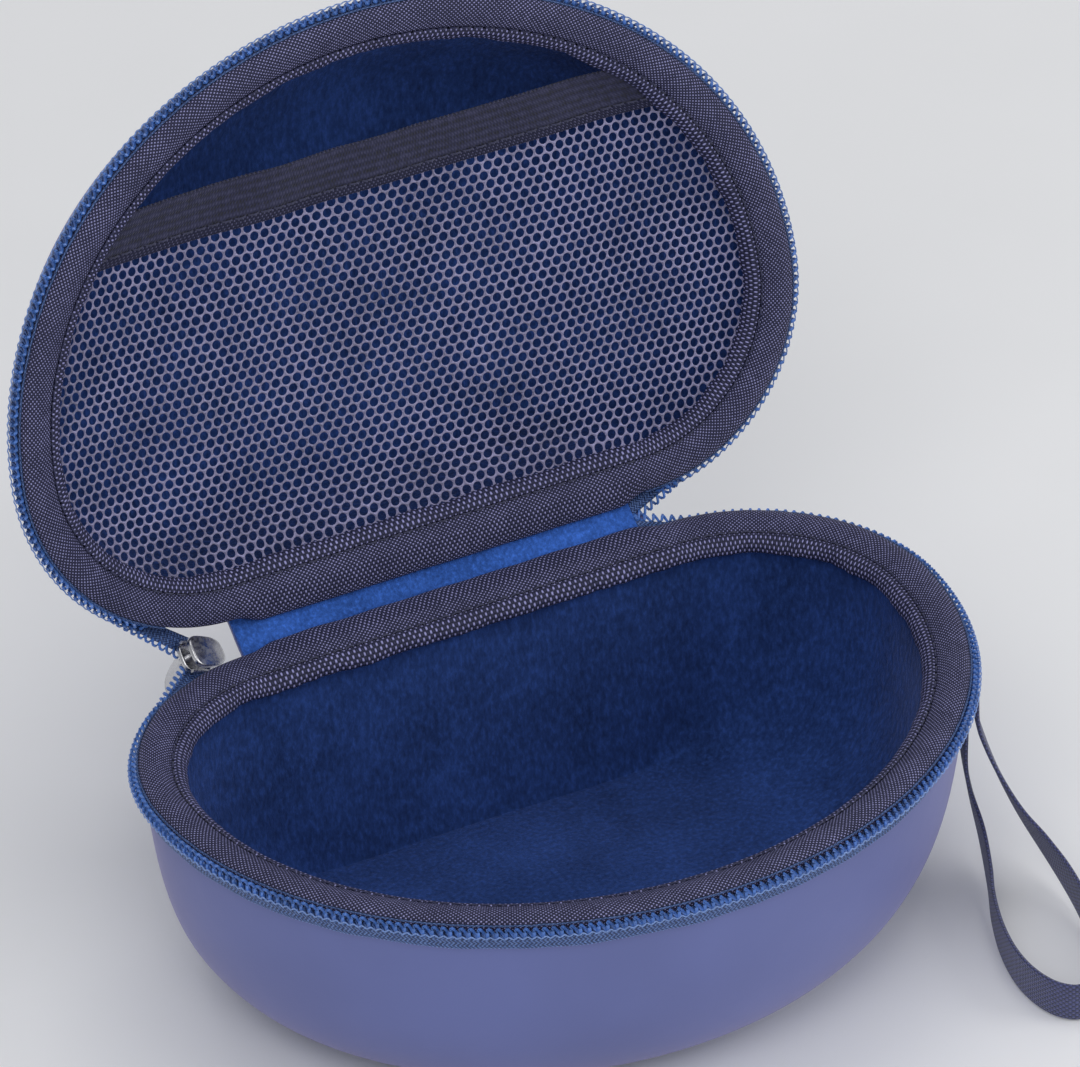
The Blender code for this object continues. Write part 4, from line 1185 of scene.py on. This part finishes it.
class CASE_OT_pocket(bpy.types.Operator):
    """Make the net pocket, its seam, its hem and the ribbed elastic along its mouth"""

    bl_idname = "case.pocket"
    bl_label = "Net pocket"

    def execute(self, context):
        sizes = context.scene.case_sizes
        net = self.net(sizes)
        share = np.linspace(-1, 1, 260)
        # Four cords lie side by side in the elastic
        across = np.linspace(-0.5, 0.5, 41)
        ribs = 0.30 * MM * np.abs(np.sin(math.pi * 5 * (across + 0.5)))
        elastic = self.strip(sizes, "pocket_elastic_band", share,
                             ELASTIC_MIDDLE + across * ELASTIC_WIDTH, 0.9 * MM + ribs, "elastic")
        hem_start = ELASTIC_MIDDLE + ELASTIC_WIDTH / 2 + 0.1 * MM
        across = np.linspace(0, 1, 15)
        puff = 0.45 * MM * np.sin(math.pi * across)
        hem = self.strip(sizes, "pocket_hem_braid", share, hem_start + across * HEM_WIDTH,
                         0.9 * MM + puff, "hem")
        seams = []
        for name, y, pitch, fill, radius in (("hem_seam", hem_start, 3.4 * MM, 0.8, 0.22 * MM),
                                             ("mouth_edge", ELASTIC_MIDDLE - ELASTIC_WIDTH / 2,
                                              1.1 * MM, 0.9, 0.26 * MM)):
            x = share * pocket_half_width(sizes, np.array([y]))
            lift = 0.75 * MM if name == "hem_seam" else 0.2 * MM
            shut = np.stack([x, np.full(len(x), y) + waves(x, 80, 0.08 * MM, 0.01, 0.03),
                             pocket_depth(share, y) - lift], 1)
            path = seat(sizes, shut, "lid")
            out = seat(sizes, shut - [0, 0, 1], "lid") - path
            seams.append(stitches(name, path, out, pitch, fill, radius, look("dark_thread")))
            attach(seams[-1], "lid")
        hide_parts("pocket_net")
        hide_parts("pocket_elastic")
        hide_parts("pocket_hem")
        # The threads of an open net cover about half of its cut outline
        return {"FINISHED"}

    def strip(self, sizes, name, share, y, thickness, look_name):
        """A band across the pocket: each point is a share of the half width at its own y."""
        x = share[:, None] * pocket_half_width(sizes, y)[None]
        depth = pocket_depth(share[:, None], y[None])
        top = np.stack([x, np.broadcast_to(y, x.shape), depth - thickness / 2], -1)
        bottom = np.stack([x, np.broadcast_to(y, x.shape), depth + 0.45 * MM + 0 * x], -1)
        points = seat(sizes, np.concatenate([top, bottom[:, ::-1]], 1), "lid")
        across = y - y[0]
        return surface(name, points, look(look_name), "lid", along=np.append(x[:, 0], x[-1, 0]),
                       across=np.concatenate([across, across[::-1], across[:1]]))

    def net(self, sizes):
        """A hexagonal net: each mesh is a ring between its shared six-sided border, which is
        the crest of the threads, and a rounded hole, on the front and on the back."""
        pitch = sizes.net_pitch
        row_pitch = pitch * 0.88
        start = ELASTIC_MIDDLE + ELASTIC_WIDTH / 2 + HEM_WIDTH - 0.4 * MM
        rows = int((POCKET_BACK + 1.0 * MM - start) / row_pitch)
        columns = int(2.1 * sizes.half_width / pitch) // 2 * 2
        row, column = np.meshgrid(np.arange(rows), np.arange(columns) - columns / 2, indexing="ij")
        centre = np.stack([(column + 0.5 * (row % 2)) * pitch, start + (row + 0.5) * row_pitch], -1)
        centre = centre.reshape(-1, 2)
        reach = pocket_half_width(sizes, centre[:, 1], 11.6 * MM)
        centre = centre[np.abs(centre[:, 0]) < reach + 0.4 * pitch]
        turn = 2 * math.pi * np.arange(12) / 12 + math.pi / 6
        corner = 2 * math.pi * np.arange(6) / 6 + math.pi / 6
        corners = np.stack([np.cos(corner) * pitch / math.sqrt(3),
                            np.sin(corner) * row_pitch * 2 / 3], 1)
        border = np.stack([corners, (corners + np.roll(corners, -1, 0)) / 2], 1).reshape(12, 2)
        hole = np.stack([np.cos(turn) * pitch * 0.41, np.sin(turn) * row_pitch * 0.485], 1)
        crest = 0.30 * MM
        layers = ((hole, 0.0), (border, crest), (border, -crest))
        flat = np.stack([centre[:, None] + ring for ring, _ in layers], 1)
        lift = np.array([rise for _, rise in layers])[None, :, None]
        lift = np.broadcast_to(lift, flat.shape[:3])
        flat = np.concatenate([flat, lift[..., None]], 3).reshape(-1, 3)
        # Borders that two meshes share become one row of points
        _, first, shared = np.unique(np.round(flat / (0.02 * MM)), axis=0, return_index=True,
                                     return_inverse=True)
        shared = shared.ravel()
        x, y, lift = flat[first].T
        half = pocket_half_width(sizes, y, 11.6 * MM)
        share = np.clip(x / half, -1.05, 1.05)
        # The cloth is pulled tight in the middle and gathered towards its sewn sides
        x = half * share * (1.07 - 0.07 * share ** 2)
        gather = (np.clip((np.abs(share) - 0.86) / 0.14, 0, 1)
                  + np.clip((y - 28 * MM) / (9 * MM), 0, 1))
        pleat = waves(y + 0.7 * np.abs(x), 71, 0.30 * MM, 0.004, 0.009) * gather
        depth = pocket_depth(np.clip(share, -1, 1), y) - lift + pleat
        depth = depth - 1.2 * MM * np.clip((y - 30 * MM) / (7 * MM), 0, 1) ** 2
        points = seat(sizes, np.stack([x, y, depth], -1), "lid")
        index = np.arange(12)
        after = (index + 1) % 12
        front = np.stack([index, after, after + 12, index + 12], 1)
        back = np.stack([index + 24, after + 24, after, index], 1)
        offset = (np.arange(len(centre)) * 36)[:, None, None]
        faces = shared[(np.concatenate([front, back])[None] + offset).reshape(-1, 4)]
        # Only the net's own outline needs a wall between its front and its back
        edge = shared[(np.stack([index + 12, after + 12, after + 24, index + 24], 1)[None]
                       + offset).reshape(-1, 4)]
        _, place, times_met = np.unique(np.sort(edge[:, :2], axis=1), axis=0, return_index=True,
                                        return_counts=True)
        faces = np.concatenate([faces, edge[place[times_met == 1]]])
        return piece("pocket_net_mesh", points, [faces], look("net"), "lid")


# ---------------------------------------------------------------- wrist strap

# Places of the strap's middle line and the way its outer face looks, as the frame's
STRAP_ROUTE = np.array([
    (0.0967, -0.0315, 0.0539, -0.93, 0.38, 0.00),
    (0.0964, -0.0312, 0.0430, -0.93, 0.38, 0.00),
    (0.0970, -0.0301, 0.0310, -0.93, 0.38, 0.00),
    (0.0986, -0.0308, 0.0205, -0.93, 0.38, 0.00),
    (0.0981, -0.0370, 0.0125, -0.93, 0.38, 0.00),
    (0.0946, -0.0470, 0.0075, -0.92, 0.40, 0.00),
    (0.0903, -0.0563, 0.0058, -0.92, 0.40, 0.00),
    (0.0863, -0.0672, 0.0054, -0.94, 0.34, 0.00),
    (0.0838, -0.0780, 0.0054, -0.99, 0.14, 0.00),
    (0.0835, -0.0872, 0.0054, -0.98, -0.20, 0.00),
    (0.0854, -0.0947, 0.0054, -0.82, -0.57, 0.00),
    (0.0893, -0.0987, 0.0054, -0.36, -0.93, 0.00),
    (0.0940, -0.0980, 0.0054, 0.45, -0.89, 0.00),
    (0.0986, -0.0930, 0.0054, 0.80, -0.60, 0.00),
    (0.1032, -0.0852, 0.0054, 0.88, -0.47, 0.00),
    (0.1066, -0.0768, 0.0054, 0.93, -0.36, 0.00),
    (0.1091, -0.0675, 0.0060, 0.97, -0.22, 0.00),
    (0.1101, -0.0573, 0.0085, 0.99, 0.00, 0.10),
    (0.1090, -0.0482, 0.0130, 0.97, 0.05, 0.25),
    (0.1062, -0.0413, 0.0195, 0.93, -0.10, 0.30),
    (0.1030, -0.0366, 0.0285, 0.93, -0.25, 0.22),
    (0.1003, -0.0337, 0.0380, 0.93, -0.36, 0.12),
    (0.0989, -0.0325, 0.0450, 0.93, -0.38, 0.05),
    (0.0987, -0.0323, 0.0539, 0.93, -0.38, 0.00),
])
STRAP_WIDTH = 10.0 * MM
STRAP_THICKNESS = 1.1 * MM


class CASE_OT_strap(bpy.types.Operator):
    """Make the webbing wrist strap and the folded tail it is sewn to"""

    bl_idname = "case.strap"
    bl_label = "Wrist strap"

    def execute(self, context):
        path = smooth_path(STRAP_ROUTE[:, :3], 161)
        face = smooth_path(STRAP_ROUTE[:, 3:], 161)
        profile = pill(STRAP_WIDTH, STRAP_THICKNESS, 28, 6.0)
        lengths = lengths_along(path)
        around = lengths_along(profile, True)
        webbing = surface("wrist_webbing", sweep(path, face, profile), look("webbing"), "strap",
                          along=np.append(lengths, lengths[-1]), across=around)
        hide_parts("wrist_strap")
        low, high = (np.array(corner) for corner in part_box("strap_anchor"))
        out = np.array([0.93, -0.38, 0.0]) / np.linalg.norm([0.93, -0.38])
        middle = (low + high) / 2
        rise = np.linspace(low[2], high[2], 12)
        line = np.stack([np.full(12, middle[0]), np.full(12, middle[1]), rise], 1)
        thick = pill(11.0 * MM, 2.9 * MM, 24, 5.0)
        tail = surface("strap_tail", sweep(line, np.broadcast_to(out, line.shape), thick),
                       look("webbing"), "base", along=np.append(rise, rise[-1]),
                       across=lengths_along(thick, True))
        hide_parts("strap_anchor")
        tangent = np.array([0.38, 0.93, 0.0])
        for row, height in enumerate((low[2] + 1.4 * MM, high[2] - 1.6 * MM)):
            seam = middle + out * 1.5 * MM + tangent * np.linspace(-4.4, 4.4, 20)[:, None] * MM
            seam[:, 2] = height
            made = stitches(f"strap_seam_{row}", seam, np.broadcast_to(out, seam.shape), 2.2 * MM,
                            0.75, 0.2 * MM, look("dark_thread"))
            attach(made, "base")
        return {"FINISHED"}


# ---------------------------------------------------------------- floor, light and camera

class CASE_OT_stage(bpy.types.Operator):
    """Lay the floor, light it softly and set the camera"""

    bl_idname = "case.stage"
    bl_label = "Floor, light and camera"

    def execute(self, context):
        turn = np.linspace(0, 2 * math.pi, 64, endpoint=False)
        radius = np.array([0.01, 0.5, 2.0, 6.0])[:, None]
        points = np.stack([radius * np.cos(turn), radius * np.sin(turn), 0 * radius * turn], -1)
        floor = surface("paper_floor", points, look("floor"), closed=False, capped=False)
        floor.data.flip_normals()
        for name, place, aim, size, power in (
                ("key", (-0.9, -1.1, 1.5), (0, 0, 0.08), 1.1, 10.0),
                ("fill", (1.5, -0.9, 0.8), (0, 0, 0.08), 1.0, 7.5),
                ("top", (0.1, 0.3, 1.9), (0, 0, 0.05), 1.4, 8.0),
                ("front", (0.2, -1.9, 0.7), (0, 0, 0.08), 1.2, 4.2)):
            self.lamp(context, name, place, aim, size, power)
        world = context.scene.world or bpy.data.worlds.new("studio")
        context.scene.world = world
        world.use_nodes = True
        tree = world.node_tree
        tree.nodes.clear()
        air = add(tree, "ShaderNodeBackground", {"Color": (0.93, 0.95, 1.0, 1.0), "Strength": 0.42})
        add(tree, "ShaderNodeOutputWorld", links={"Surface": air.outputs[0]})
        context.scene.view_settings.view_transform = "Standard"
        self.camera(context)
        return {"FINISHED"}

    def lamp(self, context, name, place, aim, size, power):
        """A square soft light, turned to face its aim."""
        data = bpy.data.lights.new(name, "AREA")
        data.size = size
        data.energy = power
        made = bpy.data.objects.new(name, data)
        back = np.array(place) - np.array(aim)
        back /= np.linalg.norm(back)
        right = np.cross([0, 0, 1], back)
        right /= np.linalg.norm(right)
        up = np.cross(back, right)
        turned = Matrix([(*row, 0.0) for row in np.stack([right, up, back], 1)] + [(0, 0, 0, 1)])
        made.matrix_world = Matrix.Translation(place) @ turned
        context.scene.collection.objects.link(made)

    def camera(self, context):
        """A long lens from the front left, above the case, rolled by under a degree."""
        data = bpy.data.cameras.new("camera")
        data.lens = 379.9
        data.sensor_width = 36.0
        data.shift_x = -0.0070
        data.shift_y = -0.0005
        data.clip_start = 0.1
        made = bpy.data.objects.new("camera", data)
        right = (0.88495, -0.46533, -0.01955)
        up = (0.27760, 0.49337, 0.82434)
        back = (-0.37394, -0.73488, 0.56580)
        turned = Matrix([(a, b, c, 0.0) for a, b, c in zip(right, up, back)] + [(0, 0, 0, 1)])
        made.matrix_world = Matrix.Translation((-1.0054, -1.9779, 1.6342)) @ turned
        context.scene.collection.objects.link(made)
        context.scene.camera = made


# ---------------------------------------------------------------- add-on

OPERATORS = (CASE_OT_halves, CASE_OT_bindings, CASE_OT_zipper, CASE_OT_hinge, CASE_OT_slider,
             CASE_OT_pocket, CASE_OT_strap, CASE_OT_stage)


class CASE_PT_panel(bpy.types.Panel):
    """Lists the case's pieces, sizes and colours"""

    bl_idname = "CASE_PT_panel"
    bl_label = "Headphone case"
    bl_space_type = "VIEW_3D"
    bl_region_type = "UI"
    bl_category = "Case"

    def draw(self, context):
        for kind in OPERATORS:
            self.layout.operator(kind.bl_idname)
        for group in (context.scene.case_sizes, context.scene.case_colours):
            column = self.layout.column()
            for key in group.__annotations__:
                column.prop(group, key)


CLASSES = (CaseSizes, CaseColours) + OPERATORS + (CASE_PT_panel,)


def register():
    """Adds the classes and the scene's settings."""
    for kind in CLASSES:
        bpy.utils.register_class(kind)
    bpy.types.Scene.case_sizes = PointerProperty(type=CaseSizes)
    bpy.types.Scene.case_colours = PointerProperty(type=CaseColours)


def unregister():
    """Removes the scene's settings and the classes."""
    del bpy.types.Scene.case_sizes
    del bpy.types.Scene.case_colours
    for kind in reversed(CLASSES):
        bpy.utils.unregister_class(kind)


def main():
    """Makes every piece and the stage."""
    register()
    for kind in OPERATORS:
        group, name = kind.bl_idname.split(".")
        getattr(getattr(bpy.ops, group), name)()
    bpy.context.view_layer.update()


if __name__ == "__main__":
    main()
